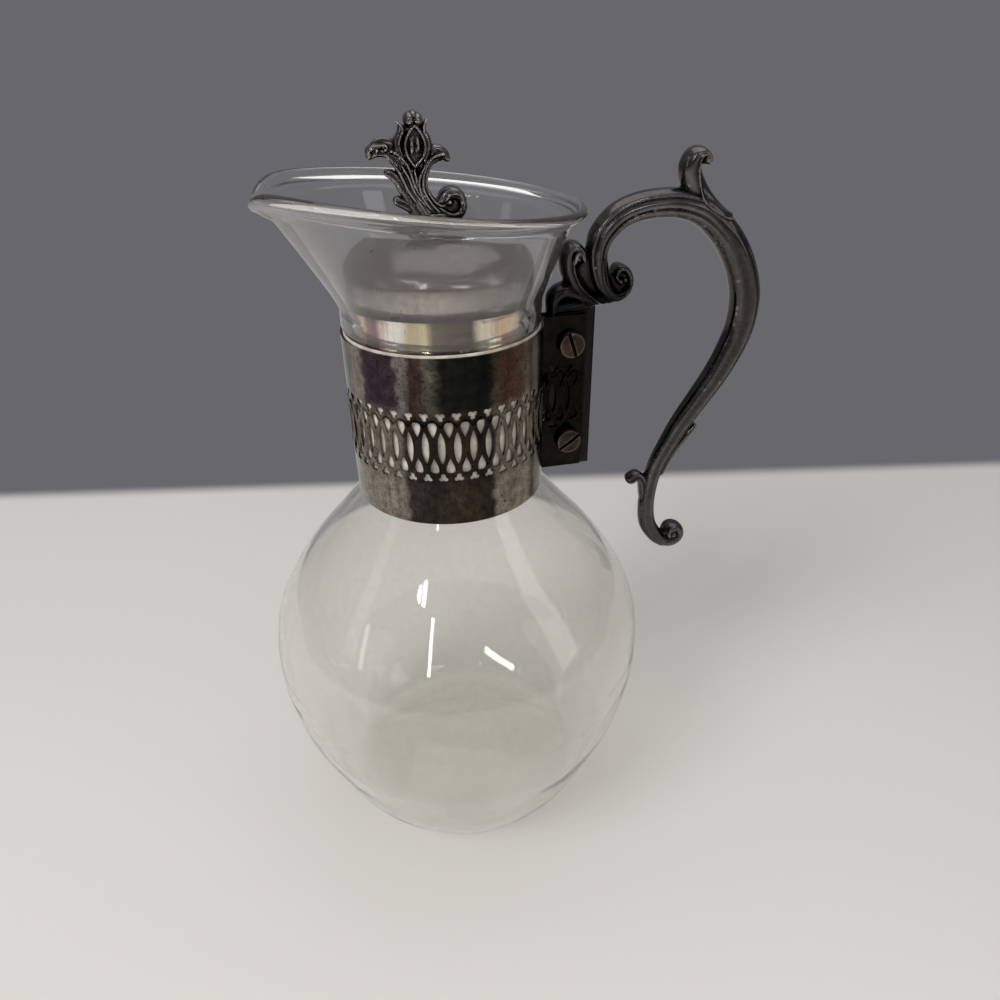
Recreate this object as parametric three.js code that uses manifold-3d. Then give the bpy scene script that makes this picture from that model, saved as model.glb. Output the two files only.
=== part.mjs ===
// A glass carafe with a pierced metal neck band, a clamped scroll handle and a loose domed lid.
// Millimetres, +Z up. The origin is the centre of the glass base, +X points to the handle, -X to the spout.
import * as THREE from 'three';
import * as BufferGeometryUtils from 'three/addons/utils/BufferGeometryUtils.js';
import Module from 'manifold-3d';

const wasm = await Module();
wasm.setup();

// Clearances and cutting
const fit_gap = 0.3;
const cut_overrun = 2;
const weld_distance = 0.0001;

// Glass vessel
const body_radius = 75.8;
const body_height = 152;
const glass_wall = 2.2;
const base_thickness = 4.5;
const throat_radius = 34.3;
const neck_recess = 1.1;
const recess_ramp = 2.6;
const throat_height = 7.2;
const flare_height = 33.4;
const rim_radius = 48.1;
const bead_radius = 1.7;
const rim_tilt_rise = 4.9;
const rim_setback = 1.5;
const spout_reach = 5.8;
const spout_dip = 2.8;

// Neck band of pierced sheet
const band_height = 60;
const band_sheet = 0.7;
const gallery_pitch = 5.2;
const gallery_top_drop = 17;
const gallery_height = 26.6;
const lens_height = 11.6;
const lens_width = 2.3;
const trefoil_size = 3.2;
const flange_reach = 16;

// Liner between band and glass
const liner_sheet = 0.5;
const liner_proud = 0.7;

// Handle casting
const tang_thickness = 3.8;
const tang_reach = 19.6;
const tang_root = 2;
const handle_reach = 85.1;
const handle_height = 161.7;
const handle_drop_share = 0.6747;
const stem_width = 11.2;
const stem_depth = 9.6;
const volute_radius = 4.5;
const volute_eye = 2.5;
const tip_volute_radius = 5.4;
const tip_volute_eye = 3.2;
const thumb_eye = 2.2;

// Clamp screws, washers and nuts
const screw_shank_radius = 2.4;
const screw_hole_radius = 2.8;
const screw_head_radius = 4.8;
const screw_head_height = 3.2;
const screw_head_crown = 0.8;
const screw_slot_width = 1.3;
const screw_slot_depth = 1.4;
const screw_end_proud = 1.4;
const screw_from_band = 10.5;
const upper_screw_drop = 10.3;
const lower_screw_rise = 11.5;
const upper_slot_turn = -0.31;
const lower_slot_turn = 0.95;
const nut_across_flats = 8;
const nut_thickness = 3.2;
const washer_radius = 4.8;
const washer_thickness = 0.8;

// Lid
const cap_seat_overlap = 0.25;
const cap_wall_height = 9.2;
const cap_rise = 14;
const cap_sheet = 0.8;
const cap_bead = 0.7;
const cap_bead_height = 1.5;
const collar_clearance = 0.6;
const collar_sheet = 0.8;
const collar_depth = 22;
const collar_engagement = 6;
const finial_height = 32;
const finial_width = 30;
const finial_depth = 8;
const finial_offset = 4.6;
const finial_screw_radius = 1.5;
const finial_screw_bite = 3.6;
const finial_screw_head_radius = 3.2;
const finial_screw_head_height = 2;
const finial_washer_radius = 5;
const finial_washer_thickness = 0.8;
const finial_slot_depth = 1;

// Facets
const glass_segments = 44;
const glass_outline_steps = 13;
const bead_steps = 6;
const liner_segments = 30;
const lid_segments = 36;
const dome_steps = 6;
const small_segments = 16;
const eye_segments = 12;
const bud_segments = 12;
const crown_steps = 4;
const stem_sides = 10;
const scroll_sides = 8;
const spiral_rows = 13;
const lens_sides = 8;
const trefoil_sides = 5;

// Levels and radii that follow
const band_bottom = body_height;
const band_top = band_bottom + band_height;
const neck_radius = throat_radius - neck_recess;
const liner_radius = neck_radius + fit_gap + liner_sheet;
const band_radius = liner_radius + fit_gap + band_sheet;
const band_mid_radius = band_radius - band_sheet / 2;
const throat_bottom = band_top + liner_proud + fit_gap;
const flare_bottom = throat_bottom + throat_height;
const rim_z = flare_bottom + flare_height;
const handle_bottom = band_top - handle_drop_share * handle_height;
const throat_inside = throat_radius - glass_wall;
const cap_radius = throat_inside + cap_seat_overlap - cap_bead;
const collar_radius = neck_radius - glass_wall - collar_clearance;

// Materials
function metal(colour, roughness) {
  return new THREE.MeshStandardMaterial({ color: colour, roughness: roughness, metalness: 1 });
}
const clear_glass = new THREE.MeshStandardMaterial({
  color: 0xdfe3da, roughness: 0.04, metalness: 0, transparent: true, opacity: 0.3,
});
const liner_film = new THREE.MeshStandardMaterial({ color: 0xcfc7b4, roughness: 0.5, metalness: 0 });
const tarnished_plate = metal(0x54504c, 0.28);
const dark_casting = metal(0x45423f, 0.34);
const copper_wear = metal(0x7a6353, 0.42);
const dull_plate = metal(0x8a8883, 0.36);
const bright_plate = metal(0xc9bdae, 0.22);

const carafe = new THREE.Group();

function add(name, geometry, material, parent = carafe) {
  const mesh = new THREE.Mesh(geometry, material);
  mesh.name = name;
  parent.add(mesh);
  return mesh;
}

// Geometry helpers
function weld(geometry) {
  const bare = geometry.clone();
  bare.deleteAttribute('normal');
  bare.deleteAttribute('uv');
  return BufferGeometryUtils.mergeVertices(bare, weld_distance);
}

function signedVolume(geometry) {
  const place = geometry.getAttribute('position');
  const index = geometry.getIndex().array;
  const corners = [new THREE.Vector3(), new THREE.Vector3(), new THREE.Vector3()];
  let total = 0;
  for (let i = 0; i < index.length; i += 3) {
    corners.forEach((corner, j) => corner.fromBufferAttribute(place, index[i + j]));
    total += corners[0].dot(corners[1].cross(corners[2])) / 6;
  }
  return total;
}

function facingOut(geometry) {
  const welded = weld(geometry);
  if (signedVolume(welded) < 0) {
    const index = welded.getIndex();
    for (let i = 0; i < index.count; i += 3) {
      const kept = index.getX(i);
      index.setX(i, index.getX(i + 1));
      index.setX(i + 1, kept);
    }
  }
  return welded;
}

function toManifold(geometry) {
  const welded = facingOut(geometry);
  return new wasm.Manifold(new wasm.Mesh({
    numProp: 3,
    vertProperties: new Float32Array(welded.getAttribute('position').array),
    triVerts: new Uint32Array(welded.getIndex().array),
  }));
}

function toGeometry(solid) {
  const mesh = solid.getMesh();
  const geometry = new THREE.BufferGeometry();
  geometry.setAttribute('position', new THREE.BufferAttribute(mesh.vertProperties, mesh.numProp));
  geometry.setIndex(new THREE.BufferAttribute(mesh.triVerts, 1));
  return geometry;
}

function joined(geometries) {
  return geometries.map(toManifold).reduce((sum, piece) => sum.add(piece));
}

function lathe(profile, segments) {
  const points = profile.map(([radius, height]) => new THREE.Vector2(radius, height));
  return facingOut(new THREE.LatheGeometry(points, segments).rotateX(Math.PI / 2));
}

function ringLathe(profile, segments) {
  return lathe([...profile, profile[0]], segments);
}

function cylinderAlongY(radius, from, to, x, z) {
  const rod = new THREE.CylinderGeometry(radius, radius, to - from, small_segments);
  return rod.translate(x, (from + to) / 2, z);
}

function box(low, high) {
  const size = high.map((value, i) => value - low[i]);
  const middle = high.map((value, i) => (value + low[i]) / 2);
  return new THREE.BoxGeometry(...size).translate(...middle);
}

function smooth(points, steps) {
  const curve = new THREE.SplineCurve(points.map(([x, y]) => new THREE.Vector2(x, y)));
  return curve.getPoints(steps).map((point) => [point.x, point.y]);
}

// A rounded bar that follows points [x, z, width, depth] in the XZ plane, with rounded ends.
function bar(rows, steps, sides = scroll_sides) {
  const route = new THREE.CatmullRomCurve3(rows.map(([x, z]) => new THREE.Vector3(x, 0, z)), false, 'centripetal');
  const girth = new THREE.CatmullRomCurve3(rows.map(([, , w, d], i) => new THREE.Vector3(w / 2, d / 2, 0)));
  const end_shares = [[0.8, 0.45], [0.45, 0.85]];
  const rings = [];
  const ring = (centre, along, half_width, half_depth) => {
    const across = new THREE.Vector3(-along.z, 0, along.x);
    const points = [];
    for (let i = 0; i < sides; i += 1) {
      const turn = (2 * Math.PI * i) / sides;
      const point = centre.clone().addScaledVector(across, half_width * Math.cos(turn));
      point.y += half_depth * Math.sin(turn);
      points.push(point);
    }
    rings.push(points);
  };
  const cap = (share, sign, end_rows) => {
    const centre = route.getPoint(share);
    const along = route.getTangent(share).multiplyScalar(sign);
    const size = girth.getPoint(share);
    for (const [narrow, out] of end_rows) {
      const place = centre.clone().addScaledVector(along, size.x * out);
      ring(place, along.clone().multiplyScalar(sign), size.x * narrow, size.y * narrow);
    }
    return centre.clone().addScaledVector(along, size.x);
  };
  const first = cap(0, -1, [...end_shares].reverse());
  for (let i = 0; i <= steps; i += 1) {
    const size = girth.getPoint(i / steps);
    ring(route.getPoint(i / steps), route.getTangent(i / steps), size.x, size.y);
  }
  const last = cap(1, 1, end_shares);
  const places = [...rings.flat(), first, last];
  const index = [];
  for (let i = 0; i + 1 < rings.length; i += 1) {
    for (let j = 0; j < sides; j += 1) {
      const a = i * sides + j;
      const b = i * sides + ((j + 1) % sides);
      index.push(a, b, a + sides, b, b + sides, a + sides);
    }
  }
  const tail = (rings.length - 1) * sides;
  for (let j = 0; j < sides; j += 1) {
    const next = (j + 1) % sides;
    index.push(places.length - 2, next, j);
    index.push(places.length - 1, tail + j, tail + next);
  }
  const geometry = new THREE.BufferGeometry().setFromPoints(places);
  geometry.setIndex(index);
  return geometry;
}

// Rows of a spiral that winds in round a centre. Each shape value is a pair, at the start and at the end.
function spiral(centre, radius, width, depth, shape) {
  const rows = [];
  const between = (pair, share) => pair[0] + (pair[1] - pair[0]) * share;
  for (let i = 0; i <= spiral_rows; i += 1) {
    const share = i / spiral_rows;
    const turn = Math.PI * between(shape.half_turns, share);
    const reach = radius * between(shape.radius_shares, share);
    rows.push([
      centre[0] + reach * Math.cos(turn),
      centre[1] + reach * Math.sin(turn),
      width * between(shape.width_shares, share),
      depth * between(shape.depth_shares, share),
    ]);
  }
  return rows;
}

// Glass vessel: turned outline, then the mouth is tilted and pulled into a spout
const body_shares = [
  [0.592, 0], [0.655, 0.012], [0.712, 0.05], [0.786, 0.12], [0.866, 0.22], [0.947, 0.33], [0.994, 0.45],
  [1, 0.53], [0.975, 0.62], [0.905, 0.7], [0.772, 0.8], [0.6, 0.9],
];
const flare_shares = [[0, 0], [0.06, 0.1], [0.28, 0.31], [0.58, 0.6], [0.84, 0.86]];
const flare_widening = rim_radius - bead_radius - throat_radius;
const spout_width_share = 0.69;
const spout_width_power = 2.7;
const dip_width_share = 0.31;
const spout_onset_share = 1.3;
const bead_from = -0.42 * Math.PI;
const bead_turn = 1.36 * Math.PI;

function glassBody() {
  const outside = smooth([
    ...body_shares.map(([r, z]) => [r * body_radius, z * body_height]),
    [neck_radius + glass_wall / 2, body_height - glass_wall / 2],
    [neck_radius, body_height + glass_wall],
  ], glass_outline_steps);
  outside.push([neck_radius, throat_bottom], [throat_radius, throat_bottom + recess_ramp]);
  const flare = flare_shares.map(([r, z]) => [throat_radius + r * flare_widening, flare_bottom + z * flare_height]);
  outside.push(...flare);
  const bead = [];
  for (let i = 0; i <= bead_steps; i += 1) {
    const turn = bead_from + (bead_turn * i) / bead_steps;
    bead.push([rim_radius + bead_radius * Math.cos(turn), rim_z + bead_radius * Math.sin(turn)]);
  }
  const inside = [...outside].reverse().filter(([, z]) => z > base_thickness);
  const inset = inside.map((point, i) => {
    const before = inside[Math.max(i - 1, 0)];
    const after = inside[Math.min(i + 1, inside.length - 1)];
    const along = new THREE.Vector2(after[0] - before[0], after[1] - before[1]).normalize();
    return [point[0] + along.y * glass_wall, point[1] - along.x * glass_wall];
  }).filter(([, z]) => z > base_thickness);
  const lowest = inset[inset.length - 1];
  const floor = [[lowest[0] - base_thickness, base_thickness], [0, base_thickness]];
  const profile = [[0, 0], ...outside, ...bead, ...inset, ...floor];
  const geometry = lathe(profile, glass_segments);
  const place = geometry.getAttribute('position');
  for (let i = 0; i < place.count; i += 1) {
    const point = new THREE.Vector3().fromBufferAttribute(place, i);
    const share = (point.z - flare_bottom) / flare_height;
    if (share > 0) {
      const radius = Math.hypot(point.x, point.y);
      const turn = Math.atan2(point.y, -point.x);
      const pull = Math.exp(-(Math.abs(turn / spout_width_share) ** spout_width_power)) * share ** spout_onset_share;
      const dip = Math.exp(-((turn / dip_width_share) ** 2));
      const reach = radius + spout_reach * pull;
      const rise = share * (rim_tilt_rise * Math.cos(turn) - spout_dip * dip);
      place.setXYZ(
        i,
        -reach * Math.cos(turn) - rim_setback * share,
        reach * Math.sin(turn),
        point.z + rise,
      );
    }
  }
  return geometry;
}
add('glass_body', glassBody(), clear_glass);

// Neck liner: a split strip, its gap under the handle
const liner_gap_angle = Math.asin((tang_thickness / 2 + fit_gap) / liner_radius);
const liner_seat = glass_wall + fit_gap;

function neckLiner() {
  const strip = new THREE.Shape();
  strip.absarc(0, 0, liner_radius, liner_gap_angle, 2 * Math.PI - liner_gap_angle, false);
  strip.absarc(0, 0, liner_radius - liner_sheet, 2 * Math.PI - liner_gap_angle, liner_gap_angle, true);
  const height = band_height + liner_proud - liner_seat;
  const wall = new THREE.ExtrudeGeometry(strip, { depth: height, bevelEnabled: false, curveSegments: liner_segments });
  return facingOut(wall.translate(0, 0, band_bottom + liner_seat));
}
add('neck_liner', neckLiner(), liner_film);

// Neck band: flat panels of pierced sheet, bent at their edges into one strip
const flange_y = tang_thickness / 2 + fit_gap + band_sheet / 2;
const bend_angle = Math.asin(flange_y / band_mid_radius);
const gallery_repeats = Math.round((2 * Math.PI * band_radius) / gallery_pitch) - 1;
const repeat_angle = (2 * Math.PI - 2 * bend_angle) / gallery_repeats;
const gallery_top = band_top - gallery_top_drop;
const gallery_bottom = gallery_top - gallery_height;
const gallery_middle = (gallery_top + gallery_bottom) / 2;
const flange_edge = band_radius + flange_reach;
const screw_x = band_radius + screw_from_band;
const upper_screw_z = band_top - upper_screw_drop;
const lower_screw_z = band_bottom + lower_screw_rise;

function ovalHole(across, up, half_width, half_height, corners, phase = 0) {
  const points = [];
  for (let i = 0; i < corners; i += 1) {
    const turn = phase + (2 * Math.PI * i) / corners;
    points.push(new THREE.Vector2(across + half_width * Math.cos(turn), up + half_height * Math.sin(turn)));
  }
  return points;
}

function galleryHoles(across) {
  const half = trefoil_size / 2;
  return [
    ovalHole(across, gallery_middle, lens_width / 2, lens_height / 2, lens_sides),
    ovalHole(across, gallery_top - half, half, half, trefoil_sides, -Math.PI / 2),
    ovalHole(across, gallery_bottom + half, half, half, trefoil_sides, Math.PI / 2),
  ];
}

// A flange has its two screw holes, with the gallery running on between them
function flangeHoles(from_edge_to_across) {
  const holes = [];
  for (const level of [upper_screw_z, lower_screw_z]) {
    const across = from_edge_to_across(flange_edge - screw_x);
    holes.push(ovalHole(across, level, screw_hole_radius, screw_hole_radius, small_segments));
  }
  for (let reach = gallery_pitch / 2; reach < flange_reach - lens_width; reach += gallery_pitch) {
    holes.push(...galleryHoles(from_edge_to_across(flange_reach - reach)));
  }
  return holes;
}

function neckBand() {
  const corners = [[flange_edge, flange_y]];
  for (let i = 0; i <= gallery_repeats; i += 1) {
    const turn = bend_angle + i * repeat_angle;
    corners.push([band_mid_radius * Math.cos(turn), band_mid_radius * Math.sin(turn)]);
  }
  corners.push([flange_edge, -flange_y]);
  const path = corners.map(([x, y]) => new THREE.Vector2(x, y));
  const along = path.slice(1).map((point, i) => point.clone().sub(path[i]));
  const normals = along.map((step) => new THREE.Vector2(step.y, -step.x).normalize());
  const miters = path.map((point, i) => {
    const before = normals[Math.max(i - 1, 0)];
    const after = normals[Math.min(i, normals.length - 1)];
    const sum = before.clone().add(after);
    return sum.multiplyScalar(band_sheet / sum.dot(before) / 2);
  });
  const places = [];
  const index = [];
  const put = (panel, across, up, side) => {
    const share = across / along[panel].length();
    const middle = path[panel].clone().lerp(path[panel + 1], share);
    const offset = miters[panel].clone().lerp(miters[panel + 1], share).multiplyScalar(side);
    places.push(new THREE.Vector3(middle.x + offset.x, middle.y + offset.y, up));
    return places.length - 1;
  };
  along.forEach((step, panel) => {
    const width = step.length();
    const outline = [[0, band_bottom], [width, band_bottom], [width, band_top], [0, band_top]];
    const contour = outline.map(([x, z]) => new THREE.Vector2(x, z));
    const is_first = panel === 0;
    const is_last = panel === along.length - 1;
    const holes = is_first || is_last
      ? flangeHoles((from_edge) => (is_first ? from_edge : width - from_edge))
      : galleryHoles(width / 2);
    const faces = THREE.ShapeUtils.triangulateShape(contour, holes);
    const flat = [contour, ...holes].flat();
    const front = flat.map((point) => put(panel, point.x, point.y, 1));
    const back = flat.map((point) => put(panel, point.x, point.y, -1));
    for (const [a, b, c] of faces) {
      index.push(front[a], front[b], front[c], back[a], back[c], back[b]);
    }
    const wall = (a, b) => index.push(front[a], back[b], front[b], front[a], back[a], back[b]);
    wall(0, 1);
    wall(2, 3);
    if (is_first) wall(3, 0);
    if (is_last) wall(1, 2);
    let start = contour.length;
    for (const hole of holes) {
      hole.forEach((point, i) => wall(start + ((i + 1) % hole.length), start + i));
      start += hole.length;
    }
  });
  const geometry = new THREE.BufferGeometry().setFromPoints(places);
  geometry.setIndex(index);
  return facingOut(geometry);
}
add('neck_band', neckBand(), tarnished_plate);

// Handle casting: tang, foot, loop, volutes and leaves joined into one body
const stem_shares = [
  [0.24, 0.733, 0.77, 0.83], [0.244, 0.789, 0.79, 0.9], [0.275, 0.837, 0.8, 0.94], [0.348, 0.875, 0.84, 0.96],
  [0.452, 0.891, 0.86, 0.98], [0.564, 0.891, 0.88, 1], [0.67, 0.873, 0.89, 1], [0.761, 0.837, 0.93, 1],
  [0.839, 0.788, 0.96, 1], [0.895, 0.732, 0.98, 1], [0.925, 0.672, 1, 1], [0.919, 0.605, 0.98, 0.98],
  [0.881, 0.545, 0.93, 0.96], [0.832, 0.492, 0.87, 0.92], [0.766, 0.437, 0.8, 0.88], [0.69, 0.375, 0.73, 0.81],
  [0.629, 0.314, 0.66, 0.75], [0.585, 0.26, 0.62, 0.71], [0.564, 0.208, 0.58, 0.69], [0.557, 0.146, 0.59, 0.71],
  [0.575, 0.088, 0.62, 0.75], [0.622, 0.045, 0.59, 0.79], [0.664, 0.022, 0.52, 0.8],
];
const thumb_shares = [
  [0.825, 0.852, 0.2, 0.42], [0.764, 0.869, 0.36, 0.56], [0.695, 0.894, 0.58, 0.73], [0.636, 0.922, 0.64, 0.83],
  [0.611, 0.952, 0.61, 0.9], [0.62, 0.978, 0.48, 0.94], [0.648, 0.986, 0.34, 0.96], [0.668, 0.977, 0.25, 0.98],
];
const spur_shares = [
  [0.759, 0.362, 0.23, 0.48], [0.712, 0.333, 0.3, 0.52], [0.658, 0.29, 0.27, 0.52], [0.616, 0.239, 0.18, 0.48],
];
const curl_shares = [
  [0.461, 0.232, 0.39, 0.67], [0.492, 0.239, 0.38, 0.65], [0.522, 0.22, 0.34, 0.6], [0.536, 0.174, 0.29, 0.54],
];
const leaf_shares = [
  [0.306, 0.698, 0.38, 0.83], [0.217, 0.707, 0.54, 0.94], [0.153, 0.739, 0.59, 1], [0.129, 0.776, 0.54, 1.02],
  [0.143, 0.802, 0.41, 1.04], [0.172, 0.803, 0.32, 1.06], [0.183, 0.79, 0.23, 1.06],
];
const foot_shares = [
  [0.068, 0.694, 0.36, 0.83], [0.075, 0.718, 0.45, 0.94], [0.129, 0.722, 0.54, 0.98], [0.212, 0.71, 0.48, 0.94],
];
const volute_centre_share = [0.344, 0.727];
const tip_volute_centre_share = [0.711, 0.045];
const thumb_eye_share = [0.664, 0.975];
const eye_depth_shares = { volute: 1.16, tip: 1, thumb: 1.1 };
const volute_shape = {
  half_turns: [1, 3.1], radius_shares: [1, 0.36], width_shares: [0.42, 0.26], depth_shares: [0.94, 1.05],
};
const tip_volute_shape = {
  half_turns: [1.35, 3.1], radius_shares: [1, 0.4], width_shares: [0.5, 0.28], depth_shares: [0.8, 0.95],
};

function handleRows(shares) {
  return shares.map(([x, z, w, d]) => [
    band_radius + x * handle_reach,
    handle_bottom + z * handle_height,
    w * stem_width,
    d * stem_depth,
  ]);
}

function handlePoint([x, z]) {
  return [band_radius + x * handle_reach, handle_bottom + z * handle_height];
}

function eye(centre, radius, depth) {
  const disc = new THREE.SphereGeometry(radius, eye_segments, eye_segments / 2);
  return disc.scale(1, depth / radius / 2, 1).translate(centre[0], 0, centre[1]);
}

function handleCasting() {
  const volute_centre = handlePoint(volute_centre_share);
  const volute = spiral(volute_centre, volute_radius, stem_width, stem_depth, volute_shape);
  const tip_centre = handlePoint(tip_volute_centre_share);
  const tip_volute = spiral(tip_centre, tip_volute_radius, stem_width, stem_depth, tip_volute_shape);
  const tang_low = [band_radius + tang_root, -tang_thickness / 2, band_bottom];
  const tang_high = [band_radius + tang_reach, tang_thickness / 2, band_top + stem_depth / 2];
  const pieces = [
    bar(handleRows(stem_shares), 36, stem_sides),
    bar(volute, 16),
    eye(volute_centre, volute_eye, stem_depth * eye_depth_shares.volute),
    bar(tip_volute, 14),
    eye(tip_centre, tip_volute_eye, stem_depth * eye_depth_shares.tip),
    bar(handleRows(thumb_shares), 12),
    eye(handlePoint(thumb_eye_share), thumb_eye, stem_depth * eye_depth_shares.thumb),
    bar(handleRows(spur_shares), 6),
    bar(handleRows(curl_shares), 6),
    bar(handleRows(leaf_shares), 11),
    bar(handleRows(foot_shares), 7),
    box(tang_low, tang_high),
  ];
  const flange_clear = box(
    [band_radius - stem_depth, -stem_depth, band_bottom - cut_overrun],
    [band_radius + tang_reach + cut_overrun, stem_depth, band_top + fit_gap],
  );
  const tang_keep = box(
    [band_radius + tang_root, -tang_thickness / 2, band_bottom],
    [band_radius + tang_reach, tang_thickness / 2, band_top + cut_overrun],
  );
  const hole = (z) => toManifold(cylinderAlongY(screw_hole_radius, -stem_depth, stem_depth, screw_x, z));
  const casting = joined(pieces).subtract(toManifold(flange_clear).subtract(toManifold(tang_keep)));
  return toGeometry(casting.subtract(hole(upper_screw_z)).subtract(hole(lower_screw_z)));
}
add('handle', handleCasting(), dark_casting);

// Clamp screws: head on the -Y flange, washer and nut behind the +Y flange
const flange_face_y = flange_y + band_sheet / 2;
const head_seat_y = flange_face_y + fit_gap;
const washer_y = flange_face_y + fit_gap;
const nut_y = washer_y + washer_thickness + fit_gap;
const screw_end_y = nut_y + nut_thickness + screw_end_proud;
const nut_radius = nut_across_flats / Math.sqrt(3);

function screw(shank_length, shank, head, height, crown, slot_width, slot_depth) {
  const profile = [[0, -shank_length], [shank, -shank_length], [shank, 0], [head, 0], [head, height - crown]];
  for (let i = 1; i <= crown_steps; i += 1) {
    const turn = (Math.PI / 2) * (i / crown_steps);
    profile.push([head * Math.cos(turn), height - crown + crown * Math.sin(turn)]);
  }
  profile[profile.length - 1][0] = 0;
  const slot = box(
    [-head - cut_overrun, -slot_width / 2, height - slot_depth],
    [head + cut_overrun, slot_width / 2, height + cut_overrun],
  );
  return toGeometry(toManifold(lathe(profile, small_segments)).subtract(toManifold(slot)));
}

function ring(outer, inner, from, to, segments = small_segments) {
  return ringLathe([[inner, from], [outer, from], [outer, to], [inner, to]], segments);
}

function hexNut(radius, hole, thickness) {
  const outline = new THREE.Shape(ovalHole(0, 0, radius, radius, 6));
  outline.holes.push(new THREE.Path(ovalHole(0, 0, hole, hole, small_segments)));
  return facingOut(new THREE.ExtrudeGeometry(outline, { depth: thickness, bevelEnabled: false }));
}

for (const [name, z, slot_turn] of [
  ['upper', upper_screw_z, upper_slot_turn],
  ['lower', lower_screw_z, lower_slot_turn],
]) {
  const clamp = new THREE.Group();
  clamp.position.set(screw_x, 0, z);
  clamp.rotation.x = Math.PI / 2;
  carafe.add(clamp);
  const length = head_seat_y + screw_end_y;
  const clamp_screw = add(`clamp_screw_${name}`, screw(
    length, screw_shank_radius, screw_head_radius, screw_head_height, screw_head_crown,
    screw_slot_width, screw_slot_depth,
  ), copper_wear, clamp);
  clamp_screw.position.z = head_seat_y;
  clamp_screw.rotation.z = Math.PI / 2 - slot_turn;
  const washer = add(
    `clamp_washer_${name}`, ring(washer_radius, screw_hole_radius, 0, washer_thickness), copper_wear, clamp,
  );
  washer.position.z = -washer_y - washer_thickness;
  const nut = add(`clamp_nut_${name}`, hexNut(nut_radius, screw_hole_radius, nut_thickness), copper_wear, clamp);
  nut.position.z = -nut_y - nut_thickness;
}

// Lid cap: spun dome with a straight wall that rests on the start of the flare
const flare_start_slope = (flare_shares[1][0] * flare_widening) / (flare_shares[1][1] * flare_height);
const cap_bottom = flare_bottom + (cap_seat_overlap + fit_gap) / flare_start_slope;
const cap_shoulder = cap_bottom + cap_wall_height;
const cap_top = cap_shoulder + cap_rise;

const dome_radius_power = 0.86;
const dome_rise_power = 1.15;

function domeProfile(radius, shoulder, rise, steps) {
  const points = [];
  for (let i = 0; i <= steps; i += 1) {
    const turn = (Math.PI / 2) * (i / steps);
    points.push([
      radius * Math.cos(turn) ** dome_radius_power,
      shoulder + rise * Math.sin(turn) ** dome_rise_power,
    ]);
  }
  points[points.length - 1][0] = 0;
  return points;
}

function lidCap() {
  const outer = domeProfile(cap_radius, cap_shoulder, cap_rise, dome_steps);
  const inner_radius = collar_radius + fit_gap;
  const inner = domeProfile(inner_radius, cap_shoulder, cap_rise - cap_sheet, dome_steps).reverse();
  const profile = [
    [inner_radius, cap_bottom], [cap_radius + cap_bead, cap_bottom],
    [cap_radius + cap_bead, cap_bottom + cap_bead_height], [cap_radius, cap_bottom + cap_bead_height * 2],
    ...outer, ...inner,
  ];
  const shell = toManifold(ringLathe(profile, lid_segments));
  const stud_hole = new THREE.CylinderGeometry(
    finial_screw_radius + fit_gap, finial_screw_radius + fit_gap, cap_rise, small_segments,
  ).rotateX(Math.PI / 2).translate(0, 0, cap_top);
  return toGeometry(shell.subtract(toManifold(stud_hole)));
}

const collar_top = cap_bottom + collar_engagement;
const collar_bottom = cap_bottom - collar_depth;

function lidCollar() {
  const inner = collar_radius - collar_sheet;
  return ring(collar_radius, inner, collar_bottom, collar_top, lid_segments);
}

const lid = new THREE.Group();
carafe.add(lid);
add('lid_cap', lidCap(), dull_plate, lid);
add('lid_collar', lidCollar(), bright_plate, lid);

// Finial casting, on the dome
const finial_seat = cap_top + fit_gap;
const finial_stem_shares = [
  [0.02, 0.52, 0.22, 0.62], [0, 0.36, 0.29, 0.75], [0.06, 0.2, 0.33, 0.85], [0.12, 0.06, 0.38, 1],
];
const finial_left_leaf_shares = [
  [-0.02, 0.36, 0.16, 0.6], [-0.1, 0.52, 0.17, 0.62], [-0.24, 0.64, 0.15, 0.6], [-0.38, 0.672, 0.14, 0.58],
  [-0.465, 0.61, 0.1, 0.56],
];
const finial_right_leaf_shares = [
  [0.06, 0.3, 0.13, 0.5], [0.11, 0.46, 0.15, 0.55], [0.21, 0.575, 0.14, 0.55], [0.305, 0.57, 0.11, 0.5],
];
const finial_upper_lobe_shares = [[-0.08, 0.28, 0.12, 0.6], [-0.2, 0.4, 0.12, 0.55], [-0.29, 0.45, 0.09, 0.45]];
const finial_lower_lobe_shares = [[-0.04, 0.12, 0.16, 0.7], [-0.16, 0.13, 0.15, 0.7], [-0.235, 0.15, 0.11, 0.6]];
const finial_left_petal_shares = [[-0.02, 0.6, 0.12, 0.6], [-0.08, 0.76, 0.13, 0.62], [-0.13, 0.9, 0.05, 0.3]];
const finial_right_petal_shares = [[0.02, 0.6, 0.12, 0.6], [0.1, 0.76, 0.13, 0.62], [0.13, 0.89, 0.05, 0.3]];
const finial_bud_shares = [[0, 0.48], [0.1, 0.54], [0.15, 0.68], [0.13, 0.82], [0.07, 0.93], [0, 1]];
const finial_volute_share = [0.36, 0.16];
const finial_volute_radius_share = 0.15;
const finial_volute_width_share = 0.13;
const finial_volute_shape = {
  half_turns: [0.85, 2.9], radius_shares: [1, 0.4], width_shares: [1, 0.7], depth_shares: [0.7, 0.9],
};
const finial_foot_taper_share = 0.8;
const finial_axis_x = -finial_offset;

function finialRows(shares) {
  return shares.map(([x, z, w, d]) => [
    finial_axis_x + x * finial_width, finial_seat + z * finial_height, w * finial_width, d * finial_depth,
  ]);
}

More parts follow.
